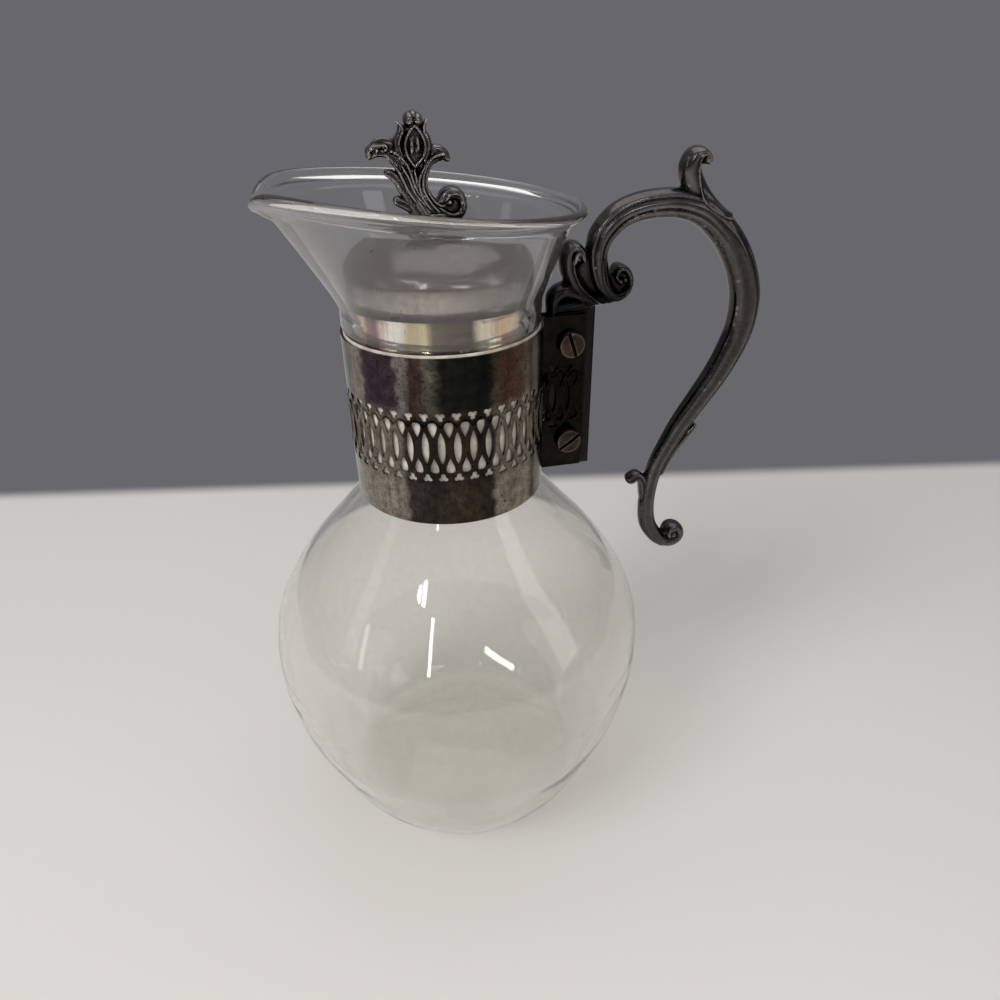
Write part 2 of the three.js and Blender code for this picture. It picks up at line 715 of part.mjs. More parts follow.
function finialCasting() {
  const centre = [
    finial_axis_x + finial_volute_share[0] * finial_width, finial_seat + finial_volute_share[1] * finial_height,
  ];
  const turn_radius = finial_volute_radius_share * finial_width;
  const turn_width = finial_volute_width_share * finial_width;
  const volute = spiral(centre, turn_radius, turn_width, finial_depth, finial_volute_shape);
  const bud = lathe(
    finial_bud_shares.map(([r, z]) => [r * finial_width, finial_seat + z * finial_height]), bud_segments,
  ).translate(finial_axis_x, 0, 0);
  const foot_height = finial_screw_bite + finial_screw_radius;
  const foot_top_radius = finial_washer_radius * finial_foot_taper_share;
  const foot = new THREE.CylinderGeometry(foot_top_radius, finial_washer_radius, foot_height, small_segments);
  foot.rotateX(Math.PI / 2).translate(0, 0, finial_seat + foot_height / 2);
  const casting = joined([
    bar(finialRows(finial_stem_shares), 8),
    bud,
    bar(finialRows(finial_left_leaf_shares), 9),
    bar(finialRows(finial_right_leaf_shares), 8),
    bar(finialRows(finial_upper_lobe_shares), 5),
    bar(finialRows(finial_lower_lobe_shares), 5),
    bar(finialRows(finial_left_petal_shares), 5),
    bar(finialRows(finial_right_petal_shares), 5),
    bar(volute, 15),
    foot,
  ]);
  const below = box(
    [-finial_width, -finial_width, finial_seat - finial_height],
    [finial_width, finial_width, finial_seat],
  );
  const bore = new THREE.CylinderGeometry(
    finial_screw_radius + fit_gap, finial_screw_radius + fit_gap, finial_screw_bite * 2, small_segments,
  ).rotateX(Math.PI / 2).translate(0, 0, finial_seat);
  return toGeometry(casting.subtract(toManifold(below)).subtract(toManifold(bore)));
}
add('finial', finialCasting(), dark_casting, lid);

// What holds the finial from under the dome
const dome_inside = cap_top - cap_sheet;
const finial_washer_top = dome_inside - fit_gap * 2;
const finial_head_seat = finial_washer_top - finial_washer_thickness - fit_gap;
const finial_washer = add('finial_washer', ring(
  finial_washer_radius, finial_screw_radius + fit_gap, 0, finial_washer_thickness,
), copper_wear, lid);
finial_washer.position.z = finial_washer_top - finial_washer_thickness;

const finial_shank = finial_seat + finial_screw_bite - fit_gap - finial_head_seat;
const finial_screw = add('finial_screw', screw(
  finial_shank, finial_screw_radius, finial_screw_head_radius, finial_screw_head_height,
  screw_head_crown, screw_slot_width, finial_slot_depth,
), copper_wear, lid);
finial_screw.rotation.x = Math.PI;
finial_screw.position.z = finial_head_seat;

export default carafe;
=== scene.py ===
"""A glass carafe: blown vessel, pierced and tarnished silver-plated neck band, scroll handle, loose lid."""
import math

import bpy
import numpy as np
from mathutils import Matrix, Vector
from mathutils.geometry import delaunay_2d_cdt


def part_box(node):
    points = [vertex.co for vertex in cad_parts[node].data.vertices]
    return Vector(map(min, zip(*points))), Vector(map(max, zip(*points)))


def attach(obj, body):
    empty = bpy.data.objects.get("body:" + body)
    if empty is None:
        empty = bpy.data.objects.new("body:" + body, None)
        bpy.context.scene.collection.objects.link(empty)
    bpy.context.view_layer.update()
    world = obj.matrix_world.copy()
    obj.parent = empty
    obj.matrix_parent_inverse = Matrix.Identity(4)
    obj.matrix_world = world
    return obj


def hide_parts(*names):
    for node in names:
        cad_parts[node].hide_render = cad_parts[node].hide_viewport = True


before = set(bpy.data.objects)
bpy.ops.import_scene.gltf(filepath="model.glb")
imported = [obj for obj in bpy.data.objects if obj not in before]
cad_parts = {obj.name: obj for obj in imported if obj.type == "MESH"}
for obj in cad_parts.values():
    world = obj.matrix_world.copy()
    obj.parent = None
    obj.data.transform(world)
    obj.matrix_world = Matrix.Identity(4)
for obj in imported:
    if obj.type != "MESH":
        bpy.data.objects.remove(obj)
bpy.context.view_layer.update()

# Every length below is in millimetres; meshes turn to metres when their object is made
METRES = 0.001
HALF_TURN = math.pi
FULL_TURN = 2 * math.pi


def span(node_name):
    """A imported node's lowest and highest corners, in millimetres."""
    low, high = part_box(node_name)
    return np.array(low) / METRES, np.array(high) / METRES


# What the frame says
band_low, band_high = span("neck_band")
cap_low, cap_high = span("lid_cap")
collar_low, collar_high = span("lid_collar")
liner_low, liner_high = span("neck_liner")
finial_seat = span("finial")[0][2]

# Glass vessel
body_radius = 75.8
glass_wall = 2.2
base_thickness = 4.5
throat_radius = 34.3
neck_radius = 33.2
recess_ramp = 1.1
throat_height = 7.2
flare_height = 33.4
rim_radius = 48.1
bead_radius = 1.7
rim_tilt_rise = 4.9
rim_setback = 1.5
spout_reach = 5.8
spout_dip = 5.4

# Neck band, and the liner under it
band_sheet = 0.7
band_bottom = band_low[2]
band_top = band_high[2]
band_radius = 35.0
band_middle_radius = band_radius - band_sheet / 2
fit_gap = 0.3
liner_sheet = 0.5
liner_radius = 34.0

# Handle casting and its clamp
tang_thickness = 3.8
tang_reach = 19.6
tang_root = 2.0
flange_edge = band_high[0]
flange_y = tang_thickness / 2 + fit_gap + band_sheet / 2
screw_x = band_radius + 10.5
upper_screw_z = band_top - 10.3
lower_screw_z = band_bottom + 11.5
screw_hole_radius = 2.8
handle_reach = 85.1
handle_height = 161.7
handle_drop_share = 0.6747
handle_bottom = band_top - handle_drop_share * handle_height
stem_width = 11.2
stem_depth = 9.6


def linear(code):
    """An sRGB hex colour as linear red, green, blue and alpha."""
    parts = [int(code[i:i + 2], 16) / 255 for i in (1, 3, 5)]
    return [p / 12.92 if p <= 0.04045 else ((p + 0.055) / 1.055) ** 2.4 for p in parts] + [1.0]


# How fine the meshes are: segments of turned shapes, and the voxels and smoothing rounds of cast ones
vessel_segments, lid_segments = 192, 144
handle_voxel, handle_rounds = 0.34, 4
finial_voxel, finial_rounds = 0.16, 3


# Curves and meshes

def curve_through(points, steps):
    """A smooth curve through points, whatever their number of columns."""
    given = np.asarray(points, float)
    padded = np.vstack([2 * given[0] - given[1], given, 2 * given[-1] - given[-2]])
    place = np.linspace(0, len(given) - 1, steps + 1)
    first = np.minimum(place.astype(int), len(given) - 2)
    share = (place - first)[:, None]
    a, b, c, d = (padded[first + i] for i in range(4))
    return 0.5 * (
        2 * b + (c - a) * share + (2 * a - 5 * b + 4 * c - d) * share ** 2
        + (3 * b - a - 3 * c + d) * share ** 3
    )


def mesh_of(points, faces):
    """A mesh with smooth faces."""
    mesh = bpy.data.meshes.new("shape")
    mesh.from_pydata(np.asarray(points, float).tolist(), [], faces)
    mesh.polygons.foreach_set("use_smooth", [True] * len(mesh.polygons))
    mesh.update()
    return mesh


def grid_faces(rows, columns):
    """Quads over rows of points, each row closed on itself."""
    faces = []
    for i in range(rows - 1):
        for j in range(columns):
            k = (j + 1) % columns
            faces.append([i * columns + j, i * columns + k, (i + 1) * columns + k, (i + 1) * columns + j])
    return faces


def looped(rings):
    """Points and faces of rings, the last of which joins the first."""
    rows, sides = rings.shape[:2]
    last = (rows - 1) * sides
    faces = grid_faces(rows, sides)
    faces += [[last + j, last + (j + 1) % sides, (j + 1) % sides, j] for j in range(sides)]
    return rings.reshape(-1, 3), faces


def capped(rings, first, last):
    """Points and faces of rings that close on a point at either end."""
    rows, sides = rings.shape[:2]
    points = np.vstack([rings.reshape(-1, 3), [first, last]])
    faces = grid_faces(rows, sides)
    tail = (rows - 1) * sides
    for j in range(sides):
        k = (j + 1) % sides
        faces += [[len(points) - 2, k, j], [len(points) - 1, tail + j, tail + k]]
    return points, faces


def lathe(profile, segments, closed=True):
    """Points and faces of a profile of radius and height turned round the Z axis. A profile that isn't
    closed starts and ends on the axis."""
    profile = np.asarray(profile, float)
    turn = np.linspace(0, FULL_TURN, segments, endpoint=False)
    radius, height = profile[:, :1], np.repeat(profile[:, 1:], segments, axis=1)
    rings = np.stack([radius * np.cos(turn), radius * np.sin(turn), height], axis=2)
    if closed:
        return looped(rings)
    return capped(rings[1:-1], [0, 0, profile[0, 1]], [0, 0, profile[-1, 1]])


def combined(shapes):
    """Several shapes' points and faces as one list of each."""
    points, faces, offset = [], [], 0
    for some_points, some_faces in shapes:
        points.append(np.asarray(some_points, float))
        faces += [[i + offset for i in face] for face in some_faces]
        offset += len(some_points)
    return np.vstack(points), faces


def linked(name, data):
    """A new object in the scene."""
    made = bpy.data.objects.new(name, data)
    bpy.context.scene.collection.objects.link(made)
    return made


def reworked(mesh, build_modifiers):
    """The mesh after modifiers, which build_modifiers adds to a passing object."""
    passing = linked("passing", mesh)
    build_modifiers(passing)
    depsgraph = bpy.context.evaluated_depsgraph_get()
    result = bpy.data.meshes.new_from_object(passing.evaluated_get(depsgraph))
    bpy.data.objects.remove(passing)
    return result


def fused(shapes, voxel, rounds):
    """Closed shapes under one skin with soft inner corners, as a casting has."""
    def add_modifiers(passing):
        skin = passing.modifiers.new("skin", "REMESH")
        skin.mode = "VOXEL"
        skin.voxel_size = voxel
        soft = passing.modifiers.new("soft", "SMOOTH")
        soft.factor = 0.5
        soft.iterations = rounds
    return reworked(mesh_of(*combined(shapes)), add_modifiers)


def cut(mesh, cutter):
    """The mesh without the cutter's space."""
    tool = linked("tool", cutter)

    def add_modifiers(passing):
        take = passing.modifiers.new("take", "BOOLEAN")
        take.operation = "DIFFERENCE"
        take.solver = "EXACT"
        take.object = tool
    result = reworked(mesh, add_modifiers)
    bpy.data.objects.remove(tool)
    return result


def places_of(mesh):
    """The mesh's points."""
    places = np.empty(len(mesh.vertices) * 3)
    mesh.vertices.foreach_get("co", places)
    return places.reshape(-1, 3)


def face_out(mesh):
    """Turns the faces round if they look into the solid."""
    mesh.calc_loop_triangles()
    corners = np.empty(len(mesh.loop_triangles) * 3, int)
    mesh.loop_triangles.foreach_get("vertices", corners)
    a, b, c = places_of(mesh)[corners.reshape(-1, 3)].transpose(1, 0, 2)
    if np.sum(a * np.cross(b, c)) < 0:
        mesh.flip_normals()


def place(name, mesh, material, nodes, body, slot, sharp_degrees=None):
    """Makes the piece from a mesh in millimetres and gives it to the frame."""
    face_out(mesh)
    mesh.transform(Matrix.Scale(METRES, 4))
    mesh.name = name
    mesh.materials.clear()
    mesh.materials.append(material)
    if sharp_degrees is not None:
        mesh.polygons.foreach_set("use_smooth", [True] * len(mesh.polygons))
        mesh.set_sharp_from_angle(angle=math.radians(sharp_degrees))
    piece = linked(name, mesh)
    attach(piece, body)
    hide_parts(*nodes)


# Materials

# Nearly all of a noise lies between these
NOISE_LOW, NOISE_HIGH = 0.3, 0.7
# What a flat place reads in Cycles' pointiness
FLAT_POINTINESS = 0.5
# Heights over the gallery's middle: where its darker band ends, and where the lower film gives way to the
# upper one
gallery_dark_ends = 12, 15
low_film_ends = 17, 12.5


def node(tree, kind, inputs=None, stops=None, **settings):
    """Adds a node. Inputs hold values, or the nodes or outputs that feed them; stops are a ramp's colours."""
    made = tree.nodes.new("ShaderNode" + kind)
    for name, value in settings.items():
        setattr(made, name, value)
    if stops:
        elements = made.color_ramp.elements
        while len(elements) < len(stops):
            elements.new(0.5)
        for element, (position, colour) in zip(elements, stops):
            element.position = position
            element.color = linear(colour) if isinstance(colour, str) else [colour] * 3 + [1.0]
    for place_in, value in (inputs or {}).items():
        if isinstance(value, bpy.types.Node):
            value = value.outputs[0]
        if isinstance(value, bpy.types.NodeSocket):
            tree.links.new(value, made.inputs[place_in])
        elif value is not None:
            made.inputs[place_in].default_value = value
    return made


def new_material(name):
    """A material with an empty node tree, its tree, and where each point lies on the carafe."""
    material = bpy.data.materials.new(name)
    material.use_nodes = True
    tree = material.node_tree
    tree.nodes.clear()
    return material, tree, node(tree, "TexCoord").outputs["Object"]


def noise(tree, where, size, detail, roughness=0.5):
    """Noise whose features are about size millimetres across."""
    return node(tree, "TexNoise", {
        "Vector": where, "Scale": 1 / (size * METRES), "Detail": detail, "Roughness": roughness,
    })


def ranged(tree, value, low, high, to_low=0.0, to_high=1.0, **settings):
    """A value carried from one range over to another, and held at its ends."""
    return node(tree, "MapRange", {
        "Value": value, "From Min": low, "From Max": high, "To Min": to_low, "To Max": to_high,
    }, **settings)


def maths(tree, operation, *values, **settings):
    """What the operation makes of one, two or three values."""
    return node(tree, "Math", dict(enumerate(values)), operation=operation, **settings)


def scaled(tree, colour, factor):
    """A colour times a factor."""
    return node(tree, "VectorMath", {0: colour, "Scale": factor}, operation="SCALE")


def blended(tree, share, first, second):
    """A colour between two."""
    return node(tree, "Mix", {0: share, 6: first, 7: second}, data_type="RGBA").outputs[2]


def mixed(tree, share, first, second):
    """A shader between two."""
    return node(tree, "MixShader", {0: share, 1: first, 2: second})


def bumped(tree, height, strength, distance, under=None):
    """The way a surface faces with a bump of so many millimetres on it, over another bump or none."""
    return node(tree, "Bump", {
        "Height": height, "Strength": strength, "Distance": distance * METRES, "Normal": under,
    })


def metal_surface(tree, colour, cloud, roughness, least, most, normal):
    """Makes the material a metal whose roughness wanders with a noise between two shares of the given one."""
    rough = ranged(tree, cloud, NOISE_LOW, NOISE_HIGH, roughness * least, roughness * most)
    metal = node(tree, "BsdfPrincipled", {
        "Base Color": colour, "Metallic": 1.0, "Roughness": rough, "Normal": normal,
    })
    node(tree, "OutputMaterial", {"Surface": metal})


def clear_glass():
    """Soda-lime glass, blown: clear, a little dusty, with a faint warm cast in its thickness."""
    material, tree, where = new_material("blown_soda_lime_glass")
    ripple = bumped(tree, noise(tree, where, 26, 2.0, 0.4), 0.2, 0.5)
    glass = node(tree, "BsdfPrincipled", {
        "Base Color": linear("#fdfdfb"), "Roughness": 0.0, "IOR": 1.5, "Transmission Weight": 1.0,
        "Normal": ripple,
    })
    dust = node(tree, "BsdfDiffuse", {"Color": linear("#b5aca0")})
    dustiness = ranged(tree, noise(tree, where, 3, 8.0, 0.7), 0.35, 0.75, 0.008, 0.05)
    through = node(tree, "BsdfTransparent", {"Color": linear("#efefed")})
    is_shadow = node(tree, "LightPath").outputs["Is Shadow Ray"]
    surface = mixed(tree, is_shadow, mixed(tree, dustiness, glass, dust), through)
    depth = node(tree, "VolumeAbsorption", {"Color": linear("#e7e5e0"), "Density": 1.8})
    node(tree, "OutputMaterial", {"Surface": surface, "Volume": depth})
    return material


def liner_film():
    """Aged clear plastic strip: ivory, half gloss, a little cloudy."""
    material, tree, where = new_material("aged_plastic_strip")
    cloud = noise(tree, where, 5, 4.0)
    tone = node(tree, "ValToRGB", {0: cloud}, stops=[(0.3, "#978e81"), (0.65, "#d3cbbe")])
    grain = bumped(tree, noise(tree, where, 0.8, 3.0), 0.3, 0.2)
    skin = node(tree, "BsdfPrincipled", {"Base Color": tone, "Roughness": 0.38, "Normal": grain})
    node(tree, "OutputMaterial", {"Surface": skin})
    return material


def plate(
    name, stops, drift, patch, roughness, streaks, mottle, low_stops=None, specks="#191614", levels=None,
):
    """Silver plate with its sulphide tarnish. Its colours change round the neck, where 0.25 faces -Y,
    the front, and 0.5 the handle, or with height where levels gives the lowest and the highest in
    millimetres. These colours are tarnish films with painted reflections and painted shade in them.
    The films of low_stops take over from a little above the gallery downwards."""
    material, tree, where = new_material(name)
    parts = node(tree, "SeparateXYZ", {0: where})
    height = parts.outputs["Z"]
    if levels:
        share = ranged(tree, height, levels[0] * METRES, levels[1] * METRES)
    else:
        angle = maths(tree, "ARCTAN2", parts.outputs["Y"], parts.outputs["X"])
        share = maths(tree, "MULTIPLY_ADD", angle, 1 / FULL_TURN, 0.5)
    wander = noise(tree, where, patch, 5.0, 0.6)
    share = maths(tree, "ADD", share, maths(tree, "MULTIPLY_ADD", wander, drift, -drift / 2))
    cloud = noise(tree, where, 3.5, 6.0, 0.65)

    def clouded(colours, least, most):
        """The colours of the films and their painted reflections, lighter and darker in patches."""
        films = node(tree, "ValToRGB", {0: share}, stops=colours)
        return scaled(tree, films, ranged(tree, cloud, NOISE_LOW, NOISE_HIGH, least, most))

    # Tarnish colours with painted reflections and painted shade, in patches
    film = clouded(stops, 1 - mottle, 1 + mottle)
    if low_stops:
        # Darker through the gallery, fading out 12 to 15 mm from its middle
        distance = maths(tree, "ABSOLUTE", maths(tree, "SUBTRACT", height, gallery_middle * METRES))
        gallery_darkening = ranged(tree, distance, *(end * METRES for end in gallery_dark_ends), 0.7, 1.0)
        # The lower films with their painted reflections
        low_film_and_reflections = scaled(tree, clouded(low_stops, 0.45, 1.5), gallery_darkening)
        level = maths(tree, "MULTIPLY_ADD", wander, 6 * METRES, height)
        below = ranged(tree, level, *((gallery_middle + end) * METRES for end in low_film_ends))
        film = blended(tree, below, film, low_film_and_reflections)
    upright = node(tree, "Mapping", {"Vector": where, "Scale": (1.0, 1.0, 0.06)})
    streak = noise(tree, upright, 1.1, 4.0)
    streaked = scaled(tree, film, ranged(tree, streak, NOISE_LOW, NOISE_HIGH, 1 - streaks, 1 + streaks))
    spot = noise(tree, where, 0.9, 6.0, 0.7)
    pitted = 0.28 + mottle * 0.13
    pitting = node(tree, "ValToRGB", {0: spot}, stops=[(pitted, 0.0), (pitted + 0.12, 1.0)])
    worn = blended(tree, pitting, linear(specks), streaked)
    dented = bumped(tree, noise(tree, where, 9, 2.0), 0.3, 0.8)
    metal_surface(tree, worn, wander, roughness, 0.75, 1.35, bumped(tree, spot, 0.25, 0.1, dented))
    return material


def casting(name, recess, body, edge, roughness, reach=0.045, speckle=0.3, foot=None):
    """Cast and plated white metal: black sulphide in the hollows, polished grey where hands rub it.

    foot gives two heights and two distances along X in millimetres. The metal is blackest below the first
    height and this side of the first distance, and rubbed beyond the second of either."""
    material, tree, where = new_material(name)
    bend = node(tree, "NewGeometry").outputs["Pointiness"]
    cloud = noise(tree, where, 7, 5.0, 0.6)
    form = maths(tree, "ADD", bend, maths(tree, "MULTIPLY_ADD", cloud, 0.03, -0.015))
    raised = ranged(tree, form, FLAT_POINTINESS - reach, FLAT_POINTINESS + reach)
    tone = node(tree, "ValToRGB", {0: raised}, stops=[(0.12, recess), (0.5, body), (0.88, edge)])
    fine = noise(tree, where, 1.2, 6.0, 0.65)
    shade = ranged(tree, fine, 0.32, 0.6, 1.05 - speckle, 1.08)
    if foot:
        parts = node(tree, "SeparateXYZ", {0: where})
        high = ranged(tree, parts.outputs["Z"], foot[0] * METRES, foot[1] * METRES, 0.07, 1.0)
        far = ranged(tree, parts.outputs["X"], foot[2] * METRES, foot[3] * METRES, 0.07, 0.75)
        shade = maths(tree, "MULTIPLY", shade, maths(tree, "MAXIMUM", high, far))
    grain = bumped(tree, fine, speckle * 0.2, 0.1)
    metal_surface(tree, scaled(tree, tone, shade), cloud, roughness, 0.7, 1.4, grain)
    return material


# Pierced band: a flat strip drawn in s along it and z up, then bent to its path
bend_radius = 1.4
corner_x = math.sqrt((band_middle_radius + bend_radius) ** 2 - (flange_y + bend_radius) ** 2)
corner_turn = math.atan2(flange_y + bend_radius, corner_x)
flange_length = flange_edge - corner_x
bend_length = bend_radius * (HALF_TURN / 2 - corner_turn)
wrap_length = band_middle_radius * (FULL_TURN - 2 * corner_turn)
strip_length = 2 * (flange_length + bend_length) + wrap_length
wanted_pitch = 5.2
gallery_columns = round(wrap_length / wanted_pitch)
gallery_pitch = 2 * HALF_TURN * band_middle_radius / (gallery_columns + 1)
gallery_drop = 30.75
gallery_middle = band_top - gallery_drop
gallery_half_height = 13.6
pattern_shift = 0.7
lens_half_height = 6.05
lens_half_width = 1.25
trefoil_drop = 11.2
trefoil_circle = 0.86
trefoil_offset = 0.88
drop_apex = 9.35
drop_tip = 3.5
drop_half_width = 1.5
drop_widest, drop_blunt, drop_sharp = 0.238, 0.36, 1.15
crossing_level = 6.8
strand_swing = 1.9
strand_end = 9.6
strand_half_width = 0.5
strand_relief = 0.36
strand_fade_end, strand_fade = 0.8, 1.2
face_drop = 0.1
circle_steps = 40
# How far the drawing's grid keeps from a hole, and the pattern from a screw hole, a bend and a free edge
hole_clearance = 0.16
screw_clearance = 0.5
bend_clearance = 2
column_clearance, drop_clearance = 3.4, 3.0
flange_grid = 0.33
touching = 0.1
weld = 0.002


def band_path(s):
    """The strip's middle line at s from the front flange's edge: place in plan and direction. Its second
    half is the first one mirrored."""
    back = s > strip_length / 2
    near = np.where(back, strip_length - s, s)
    turn = (near - flange_length) / bend_radius
    ring = -corner_turn - (near - flange_length - bend_length) / band_middle_radius
    zones = [near < flange_length, near < flange_length + bend_length]
    flat_y, bend_y = np.full_like(s, -flange_y), -flange_y - bend_radius
    x = np.select(
        zones, [flange_edge - near, corner_x - bend_radius * np.sin(turn)], band_middle_radius * np.cos(ring),
    )
    y = np.select(zones, [flat_y, bend_y + bend_radius * np.cos(turn)], band_middle_radius * np.sin(ring))
    heading = np.select(zones, [np.full_like(s, HALF_TURN), HALF_TURN + turn], ring - HALF_TURN / 2)
    return x, np.where(back, -y, y), np.where(back, HALF_TURN - heading, heading)


def outline_lens(s, steps=18):
    """A pointed oval, two arcs that meet at the tips."""
    turn = np.linspace(0, FULL_TURN, 2 * steps, endpoint=False) + HALF_TURN / 2
    up = np.sin(turn)
    side = np.sign(np.round(np.cos(turn), 9)) * (1 - up ** 2) ** 0.82
    return np.stack([s + lens_half_width * side, gallery_middle + lens_half_height * up], 1)


def outline_trefoil(s, sign, steps=36):
    """Three overlapping circles, with one of them towards the middle of the gallery."""
    turn = np.linspace(0, FULL_TURN, steps, endpoint=False) - sign * HALF_TURN / 2
    third = FULL_TURN / 3
    off = (turn + sign * HALF_TURN / 2 + third / 2) % third - third / 2
    reach = trefoil_offset * np.cos(off) + np.sqrt(trefoil_circle ** 2 - (trefoil_offset * np.sin(off)) ** 2)
    return np.stack([
        s + reach * np.cos(turn), gallery_middle + sign * trefoil_drop + reach * np.sin(turn),
    ], 1)


def outline_drop(s, sign, steps=12):
    """A kite-shaped drop, wide at its outer end, whose tip points to the middle of the gallery."""
    share = (1 - np.cos(np.linspace(0, HALF_TURN, steps + 1))) / 2
    wide = share ** drop_blunt * (1 - share) ** drop_sharp
    half = drop_half_width * wide / (drop_widest ** drop_blunt * (1 - drop_widest) ** drop_sharp)
    level = gallery_middle + sign * (drop_apex - (drop_apex - drop_tip) * share)
    right = np.stack([s + half, level], 1)
    left = np.stack([s - half, level], 1)[-2:0:-1]
    return np.vstack([right, left])


def outline_circle(s, level):
    """A screw's hole."""
    turn = np.linspace(0, FULL_TURN, circle_steps, endpoint=False)
    return np.stack([s + screw_hole_radius * np.cos(turn), level + screw_hole_radius * np.sin(turn)], 1)


def column_holes(s):
    """The lens and the two trefoils of a column."""
    return [outline_lens(s), outline_trefoil(s, 1), outline_trefoil(s, -1)]


def half_drops(s):
    """The two drops between columns."""
    return [outline_drop(s, 1), outline_drop(s, -1)]


def strand_line(level):
    """How far a strand lies from its column's middle at a height from the gallery's middle."""
    level = np.abs(level)
    swing = strand_swing * np.cos(HALF_TURN / 2 * np.minimum(level / crossing_level, 1))
    spread = np.clip((level - crossing_level) / (strand_end - crossing_level), 0, 1) ** 1.3
    return np.where(level < crossing_level, swing, spread * gallery_pitch / 2)


def relief(s, z, first_column):
    """Height of the raised strands over the sheet."""
    level = z - gallery_middle
    step = 0.01
    slope = (strand_line(level + step) - strand_line(level - step)) / (2 * step)
    lean = 1 / np.sqrt(1 + slope ** 2)
    column = np.round((s - first_column) / gallery_pitch)
    height = np.zeros_like(s)
    for neighbour in (-1, 0, 1):
        middle = first_column + (column + neighbour) * gallery_pitch
        for side in (-1, 1):
            away = (s - middle - side * strand_line(level)) * lean
            height = np.maximum(height, np.exp(-(away / strand_half_width) ** 2))
    fade = np.clip((strand_end + strand_fade_end - np.abs(level)) / strand_fade, 0, 1)
    return strand_relief * height * fade


def inside(outline, points):
    """Which points lie inside a closed outline."""
    x, y = points[:, 0][:, None], points[:, 1][:, None]
    x1, y1 = outline[:, 0], outline[:, 1]
    x2, y2 = np.roll(x1, -1), np.roll(y1, -1)
    spans = (y1 > y) != (y2 > y)
    with np.errstate(divide="ignore", invalid="ignore"):
        at = (x2 - x1) * (y - y1) / (y2 - y1) + x1
    return (np.sum(spans & (x < at), axis=1) % 2) == 1


def sheet_piece(columns, levels, holes):
    """Flat triangles over a stretch of sheet with holes in it, on grid lines at columns and levels."""
    start, end = columns[0] - 1e-6, columns[-1] + 1e-6
    across, up = np.meshgrid(columns, levels)
    grid = np.stack([across.ravel(), up.ravel()], 1)
    keep = np.ones(len(grid), bool)
    contours, links = [], []
    offset = 0
    for hole in holes:
        apart = np.min(np.hypot(*(grid[:, None, :] - hole[None]).transpose(2, 0, 1)), axis=1)
        keep &= ~(inside(hole, grid) | (apart < hole_clearance))
        within = (hole[:, 0] >= start) & (hole[:, 0] <= end)
        number = np.full(len(hole), -1)
        number[within] = offset + np.arange(within.sum())
        for i in range(len(hole)):
            pair = int(number[i]), int(number[(i + 1) % len(hole)])
            if min(pair) >= 0:
                links.append(pair)
        contours.append(hole[within])
        offset += within.sum()
    points = np.vstack(contours + [grid[keep]]) if contours else grid[keep]
    made = delaunay_2d_cdt([Vector(p) for p in points], links, [], 0, 1e-5)
    flat = np.array([tuple(v) for v in made[0]])
    faces = np.array(made[2])
    centre = flat[faces].mean(axis=1)
    solid = np.ones(len(faces), bool)
    for hole in holes:
        solid &= ~inside(hole, centre)
    corners = flat[faces]
    area = np.abs(np.cross(corners[:, 1] - corners[:, 0], corners[:, 2] - corners[:, 0]))
    return flat, faces[solid & (area > 1e-7)]


def thickened(flat, faces, outer, inner):
    """A closed sheet from flat triangles: outer and inner give each point's place on either face."""
    count = len(flat)
    points = np.vstack([outer, inner])
    edges = np.vstack([faces[:, [0, 1]], faces[:, [1, 2]], faces[:, [2, 0]]])
    ordered = np.sort(edges, axis=1)
    _, index, uses = np.unique(ordered, axis=0, return_index=True, return_counts=True)
    rim = edges[index[uses == 1]]
    walls = [[int(a), int(a) + count, int(b) + count, int(b)] for a, b in rim]
    fronts = faces.tolist()
    backs = (faces[:, ::-1] + count).tolist()
    return points, fronts + backs + walls


def flange_piece(start, end, free_edge, levels, first_column):
    """A flange with the corner next to it, and its share of the pattern where the screws leave room."""
    screw_s = abs(free_edge - (flange_edge - screw_x))
    pattern = []
    for s in np.arange(-60, 60) * gallery_pitch + first_column:
        if start + touching < s < end - touching and abs(s - free_edge) > column_clearance:
            pattern += column_holes(s)
        half = s + gallery_pitch / 2
        if start - touching < half < end + touching and abs(half - free_edge) > drop_clearance:
            pattern += half_drops(half)
    screws = [(screw_s, level) for level in (upper_screw_z, lower_screw_z)]
    holes = [outline_circle(*screw) for screw in screws] + [hole for hole in pattern if all(
        np.min(np.hypot(*(hole - screw).T)) >= screw_hole_radius + screw_clearance for screw in screws
    )]
    count = max(4, round((end - start) / flange_grid))
    return sheet_piece(np.linspace(start, end, count + 1), levels, holes)


